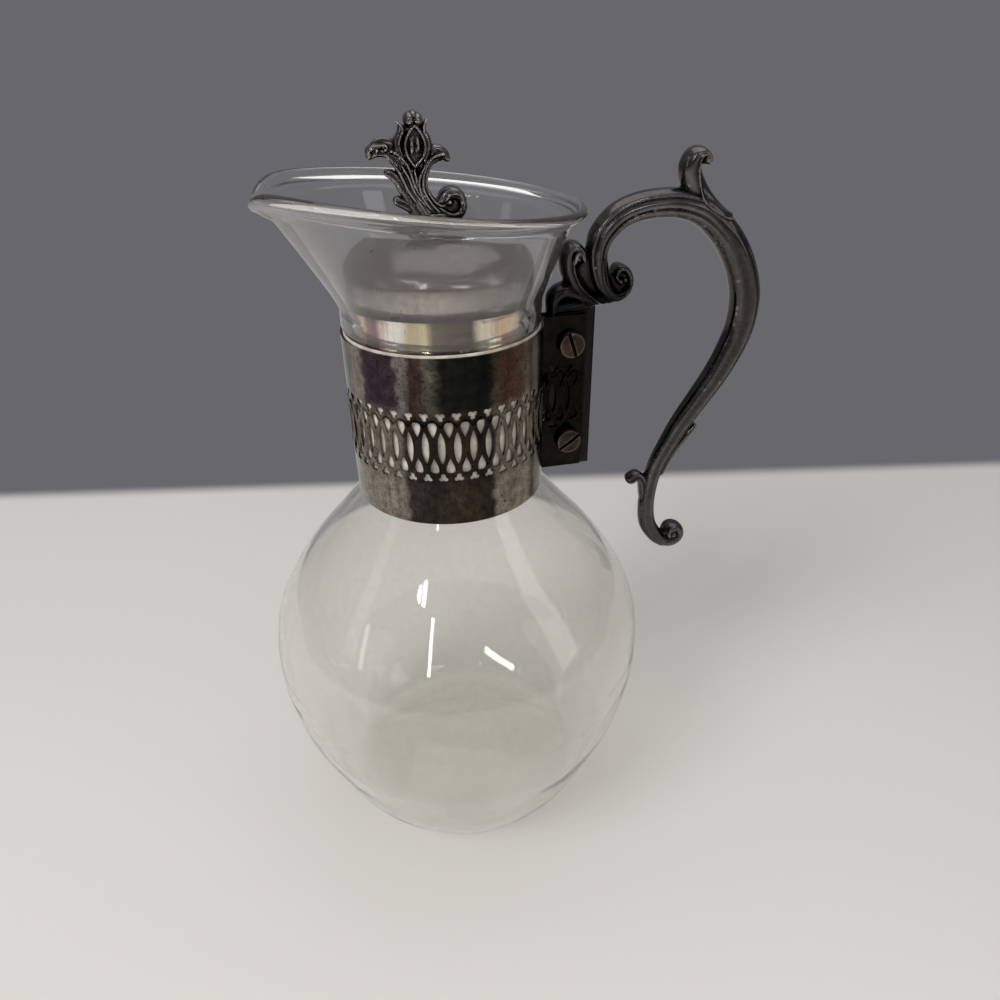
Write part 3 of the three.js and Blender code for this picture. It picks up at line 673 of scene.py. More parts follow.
def pierced_band():
    """The band's flat drawing, column after column, then bent to its path."""
    first_column = strip_length / 2 + pattern_shift
    flange_share = flange_length + bend_length + bend_clearance
    columns_before = int((first_column - flange_share) / gallery_pitch)
    tile_start = first_column - (columns_before - 0.5) * gallery_pitch
    tiles = int((strip_length - flange_share - tile_start) / gallery_pitch)
    tile_end = tile_start + tiles * gallery_pitch
    gallery_low, gallery_high = gallery_middle - gallery_half_height, gallery_middle + gallery_half_height
    levels = np.concatenate([
        np.linspace(band_bottom, gallery_low, 12)[:-1], np.linspace(gallery_low, gallery_high, 82),
        np.linspace(gallery_high, band_top, 12)[1:],
    ])
    tile = sheet_piece(
        np.linspace(0, gallery_pitch, 17), levels,
        column_holes(gallery_pitch / 2) + half_drops(0) + half_drops(gallery_pitch),
    )
    pieces = [(tile[0] + [tile_start + i * gallery_pitch, 0], tile[1]) for i in range(tiles)]
    pieces.append(flange_piece(0.0, tile_start, 0.0, levels, first_column))
    pieces.append(flange_piece(tile_end, strip_length, strip_length, levels, first_column))
    flat, faces = combined(pieces)
    cells = np.round(flat / weld).astype(int)
    _, first, back = np.unique(cells, axis=0, return_index=True, return_inverse=True)
    flat = flat[first]
    faces = np.asarray(back).reshape(-1)[np.array(faces)]
    x, y, heading = band_path(flat[:, 0])
    normal = np.stack([-np.sin(heading), np.cos(heading)], 1)
    plan = np.stack([x, y], 1)
    height = band_sheet / 2 - face_drop + relief(flat[:, 0], flat[:, 1], first_column)
    outer = np.column_stack([plan + normal * height[:, None], flat[:, 1]])
    inner = np.column_stack([plan - normal * band_sheet / 2, flat[:, 1]])
    return mesh_of(*thickened(flat, faces, outer, inner))


# Blown glass
body_shares = [
    (0.592, 0), (0.655, 0.012), (0.712, 0.05), (0.786, 0.12), (0.866, 0.22), (0.947, 0.33), (0.994, 0.45),
    (1, 0.53), (0.975, 0.62), (0.905, 0.7), (0.772, 0.8), (0.6, 0.9),
]
base_lift = 1.1
foot_radius = body_shares[0][0] * body_radius
flare_shares = [(0, 0), (0.06, 0.1), (0.28, 0.31), (0.58, 0.6), (0.84, 0.86)]
throat_bottom = liner_high[2] + fit_gap
flare_bottom = throat_bottom + throat_height
rim_z = flare_bottom + flare_height
bead_from = -0.42 * HALF_TURN
bead_turn = 1.36 * HALF_TURN


def pulled_mouth(points):
    """Tilts the mouth up at the spout and pulls the spout out of it."""
    share = (points[:, 2] - flare_bottom) / flare_height
    up = share > 0
    share = np.where(up, share, 0)
    radius = np.hypot(points[:, 0], points[:, 1])
    turn = np.arctan2(points[:, 1], -points[:, 0])
    pull = np.exp(-np.abs(turn / 0.69) ** 2.7) * share ** 1.3
    dip = np.exp(-(turn / 0.27) ** 2)
    reach = radius + spout_reach * pull
    moved = np.column_stack([
        -reach * np.cos(turn) - rim_setback * share,
        reach * np.sin(turn),
        points[:, 2] + share * (rim_tilt_rise * np.cos(turn) - spout_dip * dip),
    ])
    return np.where(up[:, None], moved, points)


def glass_vessel():
    """The blown vessel, outside, bead and inside in one closed skin."""
    body_height = band_bottom
    widening = rim_radius - bead_radius - throat_radius
    body = [(r * body_radius, z * body_height) for r, z in body_shares]
    outside = curve_through(body + [
        (neck_radius + glass_wall / 2, body_height - glass_wall / 2), (neck_radius, body_height + glass_wall),
    ], 90)
    outside[:, 0] = np.minimum(outside[:, 0], body_radius)
    neck = [(neck_radius, z) for z in np.linspace(body_height + 6, throat_bottom - 0.6, 8)]
    ramp = [(neck_radius + (throat_radius - neck_radius) * s, throat_bottom + recess_ramp * z)
            for s, z in ((0.08, 0.1), (0.5, 0.5), (0.92, 0.9), (1, 1.15))]
    flare = curve_through([(throat_radius, throat_bottom + throat_height * 0.8)] + [
        (throat_radius + r * widening, flare_bottom + z * flare_height) for r, z in flare_shares
    ], 30)
    outer = np.vstack([outside, neck, ramp, flare])
    turn = bead_from + bead_turn * np.linspace(0, 1, 19)
    bead = np.column_stack([rim_radius + bead_radius * np.cos(turn), rim_z + bead_radius * np.sin(turn)])
    back = outer[::-1]
    along = np.gradient(back, axis=0)
    along /= np.hypot(*along.T)[:, None]
    inset = back + np.column_stack([along[:, 1], -along[:, 0]]) * glass_wall
    widen = np.clip((back[:, 1] - throat_bottom + 3) / (throat_height + 3), 0, 1)
    in_neck = (back[:, 1] > body_height + 5) & (back[:, 1] < flare_bottom)
    bore = neck_radius + (throat_radius - neck_radius) * widen - glass_wall
    inset[in_neck] = np.column_stack([bore, back[:, 1]])[in_neck]
    inset = inset[inset[:, 1] > base_thickness + 1.2]
    corner = inset[-1]
    floor = [(corner[0] - 0.5, base_thickness + 0.45), (corner[0] - 2.0, base_thickness)]
    under = [(0, base_lift), (foot_radius * 0.6, base_lift), (foot_radius * 0.86, base_lift * 0.5)]
    outer[0, 0] = foot_radius
    profile = np.vstack([under, outer, bead, inset, floor, [(0, base_thickness)]])
    points, faces = lathe(profile, vessel_segments, closed=False)
    return mesh_of(pulled_mouth(points), faces)


def liner_strip():
    """A thin strip round the neck, open under the handle."""
    gap = math.asin((tang_thickness / 2 + fit_gap) / liner_radius)
    turn = np.linspace(gap, FULL_TURN - gap, 180)
    inner = liner_radius - liner_sheet
    soft = liner_sheet * 0.3
    section = [
        (inner, liner_low[2]), (liner_radius, liner_low[2]), (liner_radius, liner_high[2] - soft),
        (liner_radius - soft, liner_high[2]), (inner + soft, liner_high[2]), (inner, liner_high[2] - soft),
    ]
    points = [[r * math.cos(a), r * math.sin(a), z] for a in turn for r, z in section]
    count = len(section)
    faces = grid_faces(len(turn), count)
    faces.append(list(range(count))[::-1])
    faces.append([len(points) - count + i for i in range(count)])
    return mesh_of(points, faces)


# Scroll handle. A row is a place as shares of the casting's reach and height, and a width and a depth as
# shares of the stem's, all in thousandths
stem_shares = [
    (318, 742, 100, 960), (308, 753, 150, 950), (327, 767, 220, 940), (358, 760, 250, 930),
    (374, 738, 270, 920), (360, 716, 310, 920), (320, 705.5, 380, 920), (283, 716, 500, 920),
    (252, 740, 620, 920), (236, 770, 680, 920), (230.5, 797, 700, 920), (235, 815, 740, 930),
    (249, 835, 800, 940), (277, 854, 820, 950), (318, 872, 840, 960), (376, 885, 850, 970),
    (452, 892, 860, 980), (564, 891, 880, 1000), (670, 873, 890, 1000), (761, 837, 930, 1000),
    (839, 788, 960, 1000), (895, 732, 980, 1000), (925, 672, 1000, 1000), (919, 605, 980, 980),
    (881, 545, 930, 960), (832, 492, 870, 920), (766, 437, 800, 880), (690, 375, 730, 810),
    (629, 314, 660, 750), (585, 260, 620, 710), (564, 208, 580, 690), (557, 146, 590, 710),
    (573, 90, 620, 750), (618, 50, 580, 790), (660, 29, 500, 800),
]
thumb_shares = [
    (800, 862, 120, 400), (755, 871, 300, 500), (700, 889, 460, 620), (650, 911, 620, 740),
    (610, 938, 720, 840), (597, 964, 620, 900), (610, 984, 440, 940), (638, 988, 340, 960),
    (664, 978, 240, 980), (660, 968, 160, 980),
]
thumb_ridge_shares = [
    (658, 968), (664, 980), (640, 985), (623, 975), (620, 958), (629, 932), (645, 907), (675, 886),
    (705, 876), (750, 862), (800, 856),
]
tail_ridge_shares = [(636, 952), (645, 935), (666, 916), (712, 891), (762, 873), (800, 866)]
spur_shares = [(759, 362, 230, 480), (712, 333, 300, 520), (658, 290, 270, 520), (616, 239, 180, 480)]
curl_shares = [(461, 232, 390, 670), (492, 239, 380, 650), (522, 220, 340, 600), (536, 174, 290, 540)]
leaf_shares = [
    (290, 700, 300, 860), (215, 705, 460, 920), (160, 724, 560, 960), (118, 757, 520, 1000),
    (102, 787, 460, 1020), (108, 812, 400, 1040), (136, 817, 340, 1060), (160, 806, 280, 1060),
    (166, 790, 200, 1060),
]
leaf_ridge_shares = [
    (270, 697), (239, 700), (172, 726), (133, 758), (121, 785), (130, 806), (150, 806), (157, 793),
]
volute_ridge_shares = [
    (246, 790), (250, 760), (263, 735), (290, 714), (322, 706), (357, 714), (375, 736), (362, 759),
    (330, 768), (306, 758),
]
filling_shares = [(240, 710, 600, 500), (200, 735, 800, 500), (185, 765, 700, 480), (185, 790, 400, 460)]
foot_shares = [
    (45, 684, 360, 830), (52, 712, 460, 940), (95, 726, 520, 980), (155, 716, 500, 960),
    (220, 702, 440, 920),
]
saddle_shares = [(50, 690, 420, 800), (120, 692, 440, 840), (200, 695, 420, 840)]
volute_centre_share = (336, 740)
tip_volute_centre_share = (706, 51)
thumb_eye_share = (652, 974)


def carved(*groups, boxy=0.85):
    """A bar's section with lengthwise grooves. A group is its grooves, each a place across, a width and a
    depth, and how strong they are along the bar, or nothing when they run all along it."""
    def section(turn, share):
        across = np.sign(np.cos(turn)) * np.abs(np.cos(turn)) ** boxy + 0 * share
        deep = np.sign(np.sin(turn)) * np.abs(np.sin(turn)) ** boxy + 0 * share
        taken = 0 * across
        for grooves, strength in groups:
            here = strength(share) if strength else 1.0
            for spot, width, depth in grooves:
                taken = taken + here * depth * np.exp(-((across - spot) / width) ** 2)
        return across, deep * (1 - taken)
    return section


round_section = carved(boxy=1)


def sweep(rows, steps, section=round_section, sides=48, end_steps=6):
    """A closed bar along rows of x, z, width and depth, with rounded ends."""
    path = curve_through(rows, steps)
    along = np.gradient(path[:, :2], axis=0)
    along /= np.hypot(*along.T)[:, None]
    round_off = np.linspace(0, HALF_TURN / 2, end_steps + 1)[1:-1]
    order = np.concatenate([0 * round_off, np.arange(steps + 1), 0 * round_off + steps]).astype(int)
    turn = np.concatenate([-round_off[::-1], np.zeros(steps + 1), round_off])[:, None]
    heading = along[order]
    centre = path[order, :2] + heading * path[order, 2:3] / 2 * np.sin(turn)
    half = path[order, 2:] / 2 * np.cos(turn)
    turns = np.linspace(0, FULL_TURN, sides, endpoint=False)[None]
    across, deep = section(turns, order[:, None] / steps)
    x = centre[:, :1] - heading[:, 1:] * half[:, :1] * across
    z = centre[:, 1:] + heading[:, :1] * half[:, :1] * across
    rings = np.stack([x, half[:, 1:] * deep, z], axis=2)
    first = path[0, :2] - along[0] * path[0, 2] / 2
    last = path[-1, :2] + along[-1] * path[-1, 2] / 2
    return capped(rings, [first[0], 0, first[1]], [last[0], 0, last[1]])


def ridge(line, width, depth, thin, first_depth, last_depth):
    """Rows of one width and depth along a line. At its ends they are thin times as wide and not as deep."""
    rows = [(*share, width, depth) for share in line]
    rows[0] = (*line[0], width * thin, depth * first_depth)
    rows[-1] = (*line[-1], width * thin, depth * last_depth)
    return rows


def ball(centre, radii, segments=32):
    """An ellipsoid's points and faces round a centre in the plane of the casting."""
    turn = np.linspace(0, HALF_TURN, segments // 2 + 1)
    points, faces = lathe(np.column_stack([np.sin(turn), -np.cos(turn)]), segments, closed=False)
    return points * np.array(radii) + np.array([centre[0], 0, centre[1]]), faces


def web(centre, radius, depth):
    """A disc that closes a scroll behind its turns."""
    half, soft = depth / 2, 0.4
    points, faces = lathe([
        (0, -half), (radius - soft, -half), (radius, -half + soft), (radius, half - soft),
        (radius - soft, half), (0, half),
    ], 48, closed=False)
    return points[:, [0, 2, 1]] * [1, 1, -1] + [centre[0], 0, centre[1]], faces


def laid_out(origin, size, thickness):
    """Two functions for a casting drawn in thousandths of its size and of its thickness."""
    def point(share):
        """The place of a share in the casting's plane."""
        return origin[0] + share[0] / 1000 * size[0], origin[1] + share[1] / 1000 * size[1]

    def rows(shares):
        """A bar's rows of x, z, width and depth."""
        return [(*point(row), row[2] / 1000 * thickness[0], row[3] / 1000 * thickness[1]) for row in shares]
    return point, rows


def lifted(mesh, floor, reach=math.inf):
    """Points and faces of a mesh, with what lies below the floor this side of reach raised onto it."""
    places = places_of(mesh)
    low = (places[:, 0] < reach) & (places[:, 2] < floor)
    places[low, 2] = floor
    return places, [list(face.vertices) for face in mesh.polygons]


handle_point, handle_rows = laid_out(
    (band_radius, handle_bottom), (handle_reach, handle_height), (stem_width, stem_depth),
)


def part_of(start, rise, end, fall):
    """How strong grooves are that fade in from start and fade out towards end, as shares of the bar."""
    return lambda share: np.clip((share - start) / rise, 0, 1) * np.clip((end - share) / fall, 0, 1)


def tang_plate():
    """The flat plate between the flanges, with its two screw holes."""
    columns = np.linspace(band_radius + tang_root, band_radius + tang_reach, 10)
    levels = np.linspace(band_bottom, band_top + stem_depth / 2, 34)
    holes = [outline_circle(screw_x, z) for z in (upper_screw_z, lower_screw_z)]
    flat, faces = sheet_piece(columns, levels, holes)
    half = tang_thickness / 2
    outer, inner = (np.column_stack([flat[:, 0], np.full(len(flat), y), flat[:, 1]]) for y in (-half, half))
    return thickened(flat, faces, outer, inner)


def scroll_handle():
    """The casting above the band, under one skin, and its tang."""
    stem = carved(
        ([(0.4, 0.09, 0.2), (-0.33, 0.09, 0.2)], part_of(0.22, 0.06, 0.58, 0.08)),
        ([(0.6, 0.11, 0.2), (-0.1, 0.4, 0.12)], part_of(0.56, 0.05, 0.96, 0.1)),
    )
    rimmed = carved(([(0.0, 0.42, 0.22)], None), boxy=0.8)
    volute, tip = handle_point(volute_centre_share), handle_point(tip_volute_centre_share)
    turn, reach, width, depth = np.linspace(
        (1.35 * HALF_TURN, 4.6, 0.48 * stem_width, 0.8 * stem_depth),
        (3.1 * HALF_TURN, 1.84, 0.26 * stem_width, 0.95 * stem_depth), 26,
    ).T
    tip_scroll = np.column_stack([tip[0] + reach * np.cos(turn), tip[1] + reach * np.sin(turn), width, depth])
    shapes = [
        sweep(handle_rows(stem_shares), 320, stem),
        web(volute, 4.4, stem_depth * 0.55),
        ball((volute[0] - 0.5, volute[1]), (1.5, stem_depth * 0.47, 1.5)),
        sweep(tip_scroll, 60),
        web(tip, 3.9, stem_depth * 0.6),
        ball(tip, (2.2, stem_depth * 0.5, 2.2)),
        ball(handle_point(thumb_eye_share), (1.7, stem_depth * 0.53, 1.7)),
        sweep(handle_rows(curl_shares), 40, rimmed),
    ]
    for shares, steps in (
        (thumb_shares, 100), (spur_shares, 50), (leaf_shares, 90), (filling_shares, 40), (foot_shares, 60),
        (saddle_shares, 30),
    ):
        shapes.append(sweep(handle_rows(shares), steps))
    for line, width, depth in (
        (leaf_ridge_shares, 100, 1120), (volute_ridge_shares, 90, 1000), (thumb_ridge_shares, 100, 960),
        (tail_ridge_shares, 80, 660),
    ):
        shapes.append(sweep(handle_rows(ridge(line, width, depth, 0.4, 0.85, 0.9)), 90, sides=20))
    skin = fused(shapes, handle_voxel, handle_rounds)
    scrolls = lifted(skin, band_top + fit_gap, band_radius + tang_reach + 2)
    return mesh_of(*combined([scrolls, tang_plate()]))


# Screws, washers and nuts
head_radius = 4.8
head_height = 3.2
head_crown = 0.8
slot_width = 1.3
slot_depth = 1.4
shank_radius = 2.4
screw_end_proud = 1.4
nut_thickness = 3.2
nut_radius = 8 / math.sqrt(3)
washer_radius = 4.8
washer_thickness = 0.8


def slotted_screw(length, shank, head, height, deep, slot_turn):
    """A screw along Z with its head up: seat at 0, soft shoulder, low crown and a slot."""
    soft = 0.35
    side = height - head_crown - soft
    profile = [
        (0, -length), (shank - soft, -length), (shank, -length + soft), (shank, -0.3), (head - soft / 2, 0),
        (head, soft / 2), (head, side),
    ]
    for turn in np.linspace(0.2, 1, 8) * HALF_TURN / 2:
        reach = (head - soft) * math.cos(turn) + soft * math.cos(turn) ** 4
        profile.append((reach, side + soft + head_crown * math.sin(turn)))
    profile[-1] = (0, height)
    over, rows, half = 2.0, 29, slot_width / 2
    ring = [(-half, height - deep), (half, height - deep), (half, height + over), (-half, height + over)]
    points = [(x, y, z) for x in np.linspace(-head - over, head + over, rows) for y, z in ring]
    last = len(points) - 4
    cutter = mesh_of(points, grid_faces(rows, 4) + [[3, 2, 1, 0], [last, last + 1, last + 2, last + 3]])
    face_out(cutter)
    cutter.transform(Matrix.Rotation(slot_turn, 4, "Z"))
    return cut(mesh_of(*lathe(profile, 72, closed=False)), cutter)


def washer(outer, inner, thickness):
    """A flat ring with soft edges, its seat at 0."""
    soft = 0.12
    return mesh_of(*lathe([
        (inner, soft), (inner + soft, 0), (outer - soft, 0), (outer, soft), (outer, thickness - soft),
        (outer - soft, thickness), (inner + soft, thickness), (inner, thickness - soft),
    ], 60))


def hex_nut(radius, hole, thickness):
    """A hexagon nut whose corners are turned down on both faces."""
    sides, fine = 6, 12
    turn = np.linspace(0, FULL_TURN, sides * fine, endpoint=False)
    flat = radius * math.cos(HALF_TURN / sides)
    hexagon = flat / np.cos((turn % (FULL_TURN / sides)) - HALF_TURN / sides)
    drop = 0.54 * np.clip((hexagon - flat) / (radius - flat), 0, 1)
    rings = []
    for reach, level in (
        (hole, 0), (flat - 0.1, 0), (hexagon, drop), (hexagon, thickness - drop), (flat - 0.1, thickness),
        (hole, thickness),
    ):
        rings.append(np.column_stack([reach * np.cos(turn), reach * np.sin(turn), level + 0 * turn]))
    return mesh_of(*looped(np.array(rings)))


def clamp(material, plain):
    """Two screws through flange, tang and flange, each with a washer and a nut at the back."""
    face_y = flange_y + band_sheet / 2 + fit_gap
    washer_y = face_y + washer_thickness
    nut_y = washer_y + fit_gap + nut_thickness
    length = face_y + nut_y + screw_end_proud
    for name, level, slot_turn in (("upper", upper_screw_z, 1.88), ("lower", lower_screw_z, 0.62)):
        screw = slotted_screw(length, shank_radius, head_radius, head_height, slot_depth, slot_turn)
        ring = washer(washer_radius, screw_hole_radius, washer_thickness)
        nut = hex_nut(nut_radius, screw_hole_radius, nut_thickness)
        for piece, mesh, y, finish, solid, sharp in (
            ("slotted_screw", screw, -face_y, material, "clamp_screw", 40),
            ("plain_washer", ring, washer_y, plain, "clamp_washer", 40),
            ("hex_nut", nut, nut_y, plain, "clamp_nut", 30),
        ):
            mesh.transform(Matrix.Translation((screw_x, y, level)) @ Matrix.Rotation(HALF_TURN / 2, 4, "X"))
            place(f"{piece}_{name}", mesh, finish, [f"{solid}_{name}"], "carafe", "worn_brass", sharp)


# Lid
cap_bead = 0.7
cap_radius = (cap_high[1] - cap_low[1]) / 2 - cap_bead
cap_wall_height = 9.2
cap_sheet = 0.8
cap_shoulder = cap_low[2] + cap_wall_height
cap_rise = cap_high[2] - cap_shoulder
collar_radius = (collar_high[1] - collar_low[1]) / 2
collar_sheet = 0.8


def dome(radius, rise, steps):
    """A dome's profile over the shoulder, from its edge to its top."""
    turn = np.linspace(0, HALF_TURN / 2, steps + 1)
    reach = radius * np.cos(turn) ** 0.86
    reach[-1] = 0
    return np.column_stack([reach, cap_shoulder + rise * np.sin(turn) ** 1.15])


def lid_dome():
    """The spun dome with its straight wall and rolled edge."""
    bottom = cap_low[2]
    edge_radius = cap_radius + cap_bead
    bead = [(edge_radius - 0.5, bottom), (edge_radius - 0.12, bottom + 0.12), (edge_radius, bottom + 0.5)]
    bead += [(cap_radius + cap_bead * (1 - s) ** 2, bottom + 0.5 + 2.6 * s) for s in np.linspace(0.2, 1, 7)]
    wall = [(cap_radius, z) for z in np.linspace(bottom + 3.6, cap_shoulder - 1, 8)]
    outer = dome(cap_radius, cap_rise, 40)
    inner_radius = collar_radius + fit_gap
    inner = dome(inner_radius, cap_rise - cap_sheet, 30)[::-1]
    profile = np.vstack([bead, wall, outer[:-1], [(0.0, cap_high[2])]])
    under = np.vstack([[(0.0, inner[0, 1])], inner[1:], [(inner_radius, bottom)]])
    points, faces = lathe(np.vstack([under[::-1][-1:], under[1:], profile]), lid_segments, closed=False)
    return mesh_of(points, faces)


def lid_skirt():
    """The bright straight skirt under the dome, its lower edge turned smooth."""
    inner = collar_radius - collar_sheet
    low, high = collar_low[2], collar_high[2]
    soft = 0.3
    profile = [(inner, low + soft), (inner + soft, low)]
    profile += [(collar_radius - soft, low), (collar_radius, low + soft)]
    profile += [(collar_radius, z) for z in np.linspace(low + 2, high - 1, 12)]
    profile += [(collar_radius, high), (inner, high)]
    return mesh_of(*lathe(profile, lid_segments))


# Finial, its rows in thousandths of its width, height, width and depth
finial_height = 32
finial_width = 30
finial_depth = 8
finial_axis_x = -4.6
finial_stem_shares = [
    (-110, 550, 140, 450), (-130, 440, 160, 550), (-110, 320, 200, 640), (-50, 200, 260, 760),
    (30, 70, 360, 900),
]
left_leaf_shares = [
    (50, 100, 120, 720), (-40, 240, 120, 680), (-110, 370, 130, 640), (-170, 480, 135, 620),
    (-245, 565, 120, 600), (-330, 625, 100, 580), (-420, 637, 100, 540), (-495, 605, 70, 460),
]
leaf_curl_shares = [
    (-505, 600, 70, 500), (-500, 650, 80, 600), (-455, 677, 75, 660), (-385, 690, 55, 680),
    (-330, 690, 45, 700), (-318, 667, 40, 700),
]
leaf_back_shares = [
    (-180, 580, 140, 300), (-260, 675, 140, 340), (-350, 712, 120, 340), (-430, 695, 100, 320),
    (-480, 650, 70, 300),
]
upper_lobe_shares = [
    (30, 80, 130, 740), (-80, 180, 150, 720), (-165, 285, 130, 660), (-230, 375, 105, 600),
    (-295, 435, 95, 520), (-332, 450, 80, 440),
]
lower_lobe_shares = [(20, 70, 120, 760), (-80, 115, 120, 740), (-170, 155, 110, 660), (-250, 195, 105, 560)]
scroll_shares = [
    (292, 556, 70, 460), (258, 588, 130, 540), (185, 607, 175, 600), (110, 580, 180, 640),
    (66, 520, 140, 680), (38, 430, 112, 700), (26, 340, 104, 720), (42, 250, 110, 740), (88, 168, 120, 760),
    (155, 100, 125, 780), (235, 50, 120, 800), (310, 25, 110, 840), (385, 45, 105, 870),
    (427, 93, 100, 900), (433, 151, 100, 900), (416, 200, 110, 900), (376, 235, 125, 900),
    (325, 247, 135, 900), (275, 235, 140, 880), (235, 208, 130, 860), (205, 180, 100, 820),
]
left_petal_shares = [
    (-160, 540, 110, 660), (-205, 640, 120, 700), (-210, 730, 90, 680), (-180, 800, 55, 600),
    (-178, 855, 45, 500), (-210, 894, 18, 340),
]
right_petal_shares = [
    (50, 560, 100, 660), (90, 660, 110, 720), (88, 740, 90, 700), (66, 800, 60, 620), (72, 855, 50, 520),
    (102, 900, 20, 340),
]
calyx_shares = [
    (-55, 480, 120, 500), (-60, 580, 260, 620), (-62, 680, 290, 640), (-50, 770, 250, 640),
    (-40, 850, 170, 600), (-36, 900, 150, 540), (-36, 945, 100, 440), (-36, 975, 30, 200),
]
hood_shares = [
    (-56, 510), (-103, 570), (-130, 630), (-138, 690), (-122, 750), (-85, 806), (-32, 850), (18, 802),
    (50, 747), (64, 694), (61, 640), (35, 586), (-12, 540), (-50, 505),
]
finial_ridges = [
    [
        (-300, 655), (-245, 626), (-205, 602), (-166, 564), (-128, 514), (-104, 458), (-85, 390),
        (-55, 310), (-10, 235), (50, 165), (120, 100),
    ],
    [
        (-190, 520), (-172, 485), (-141, 435), (-117, 385), (-93, 321), (-63, 257), (-10, 191), (45, 137),
        (90, 64),
    ],
    [(-270, 535), (-215, 455), (-175, 370), (-130, 280), (-75, 200), (0, 125), (50, 60)],
    [(-60, 500), (-55, 430), (-35, 345), (0, 265), (55, 190), (120, 120)],
    [
        (130, 575), (88, 548), (56, 507), (16, 447), (-13, 393), (-22, 343), (-13, 286), (10, 222),
        (42, 163), (90, 103), (157, 50),
    ],
    [
        (285, 590), (250, 600), (190, 592), (130, 570), (85, 530), (46, 464), (28, 410), (20, 341),
        (28, 285), (58, 220), (98, 160), (153, 100), (210, 50), (300, 12),
    ],
    [(69, 300), (78, 260), (100, 218), (138, 175), (185, 143), (228, 138), (250, 165)],
    [(-197, 660), (-197, 720), (-178, 766), (-157, 806), (-158, 841), (-182, 872)],
    [
        (250, 145), (248, 185), (285, 225), (330, 246), (381, 237), (422, 198), (435, 151), (426, 95),
        (387, 44),
    ],
]
finial_ridge_depths = (760, 770, 760, 760, 800, 830, 800, 770, 960)
finial_volute_share = (335, 145)
finial_eye_share = (288, 166)
# Where the finial's small balls sit, and how far each reaches across, deep and up
finial_knobs = [
    ((-72, 675), (42, 430, 115)), ((-8, 690), (36, 410, 105)), ((-76, 900), (62, 440, 74)),
    ((6, 900), (56, 420, 68)), ((-37, 942), (45, 340, 44)), ((-340, 655), (34, 400, 26)),
    ((-425, 652), (34, 420, 30)), ((-280, 640), (36, 400, 24)),
]
finial_point, finial_rows = laid_out(
    (finial_axis_x, finial_seat), (finial_width, finial_height), (finial_width, finial_depth),
)


def cast_finial():
    """The bud with its leaves, lobes and volute, under one skin."""
    channelled = carved(([(-0.15, 0.42, 0.45)], part_of(0.06, 0.1, 0.62, 0.1)), boxy=0.75)
    lobed = carved(([(0.35, 0.16, 0.2), (-0.35, 0.16, 0.2)], None), boxy=0.8)
    hollowed = carved(([(0.0, 0.4, 0.22)], None), boxy=0.8)
    foot = [(0, 0), (4.8, 0), (5, 0.3), (4.2, 2.2), (0, 3)]
    shapes = [
        lathe([(reach, finial_seat + level) for reach, level in foot], 48, closed=False),
        web(finial_point(finial_volute_share), 3.2, finial_depth * 0.36),
        ball(finial_point(finial_eye_share), (1.45, finial_depth * 0.48, 1.45)),
    ]
    for shares, steps, section in (
        (finial_stem_shares, 60, lobed), (calyx_shares, 60, round_section), (left_leaf_shares, 70, hollowed),
        (leaf_curl_shares, 40, round_section), (upper_lobe_shares, 50, hollowed),
        (lower_lobe_shares, 40, hollowed), (left_petal_shares, 50, round_section),
        (right_petal_shares, 50, round_section), (scroll_shares, 160, channelled),
        (leaf_back_shares, 50, round_section),
    ):
        shapes.append(sweep(finial_rows(shares), steps, section))
    for share, radii in finial_knobs:
        shapes.append(ball(
            finial_point(share), np.array(radii) / 1000 * (finial_width, finial_depth, finial_height),
        ))
    shapes.append(sweep(finial_rows([(*share, 60, 860) for share in hood_shares]), 90, sides=24))
    for line, depth in zip(finial_ridges, finial_ridge_depths):
        shapes.append(sweep(finial_rows(ridge(line, 56, depth, 0.25, 0.75, 0.75)), 60, sides=16))
    return mesh_of(*lifted(fused(shapes, finial_voxel, finial_rounds), finial_seat))


def lid_fastening(plain):
    """The washer and screw that hold the finial from under the dome."""
    ring = washer(5.0, 1.8, 0.8)
    ring.transform(Matrix.Translation((0, 0, span("finial_washer")[0][2])))
    place("lid_washer", ring, plain, ["finial_washer"], "lid", "worn_brass", 40)
    low, high = span("finial_screw")
    head = 2.0
    screw = slotted_screw(high[2] - low[2] - head, 1.5, 3.2, head, 1.0, 0.0)
    screw.transform(Matrix.Translation((0, 0, low[2] + head)) @ Matrix.Rotation(HALF_TURN, 4, "X"))
    place("lid_screw", screw, plain, ["finial_screw"], "lid", "worn_brass", 40)


# Stage, lights and camera
BACKDROP = "#67676c"
FLOOR_REACH, TABLE_REACH, FADE_REACH = 8.0, 0.752, 0.772
# Name, size and watts, place and target, and whether glass and metal show the lamp; all in metres
softboxes = [
    ("ceiling_softbox", (1.8, 1.8), 9.6, (0.15, 0.3, 1.7), (0.1, 0.2, 0), True),
    ("side_softbox", (0.7, 0.7), 17.5, (-1.04, -0.58, 1.28), (0, 0, 0.1), False),
    ("front_fill", (0.3, 0.3), 0.7, (0.0, -0.52, 0.36), (0.0, -0.52, 0), False),
]
# Name, azimuth and elevation of either end, width in metres and radiance
strip_lamps = [
    ("window_slit", (-118.5, 39), (-117.5, 17), 0.034, 16),
    ("warm_bar", (-82, 26), (-67, 15.5), 0.055, 9),
    ("left_slit", (-163, 22), (-158, 8), 0.05, 2.4),
]
for i, azimuth in enumerate((-128, -132.8, -137.6, -142.4)):
    strip_lamps.append((f"window_pane_{i + 1}", (azimuth, 40.2), (azimuth, 42.2), 0.05, 16))
for i, width in enumerate((0.3, 0.2, 0.1)):
    strip_lamps += [
        (f"left_wall_{i + 1}", (-174, 32), (-168, 8), width * 0.6, 0.5),
        (f"right_wall_{i + 1}", (-36, 36), (-33, 2), width, 1.0),
    ]
# What the strip lamps stand round and face, and how far away
carafe_middle = Vector((0, 0, 0.12))
room_distance = 1.2


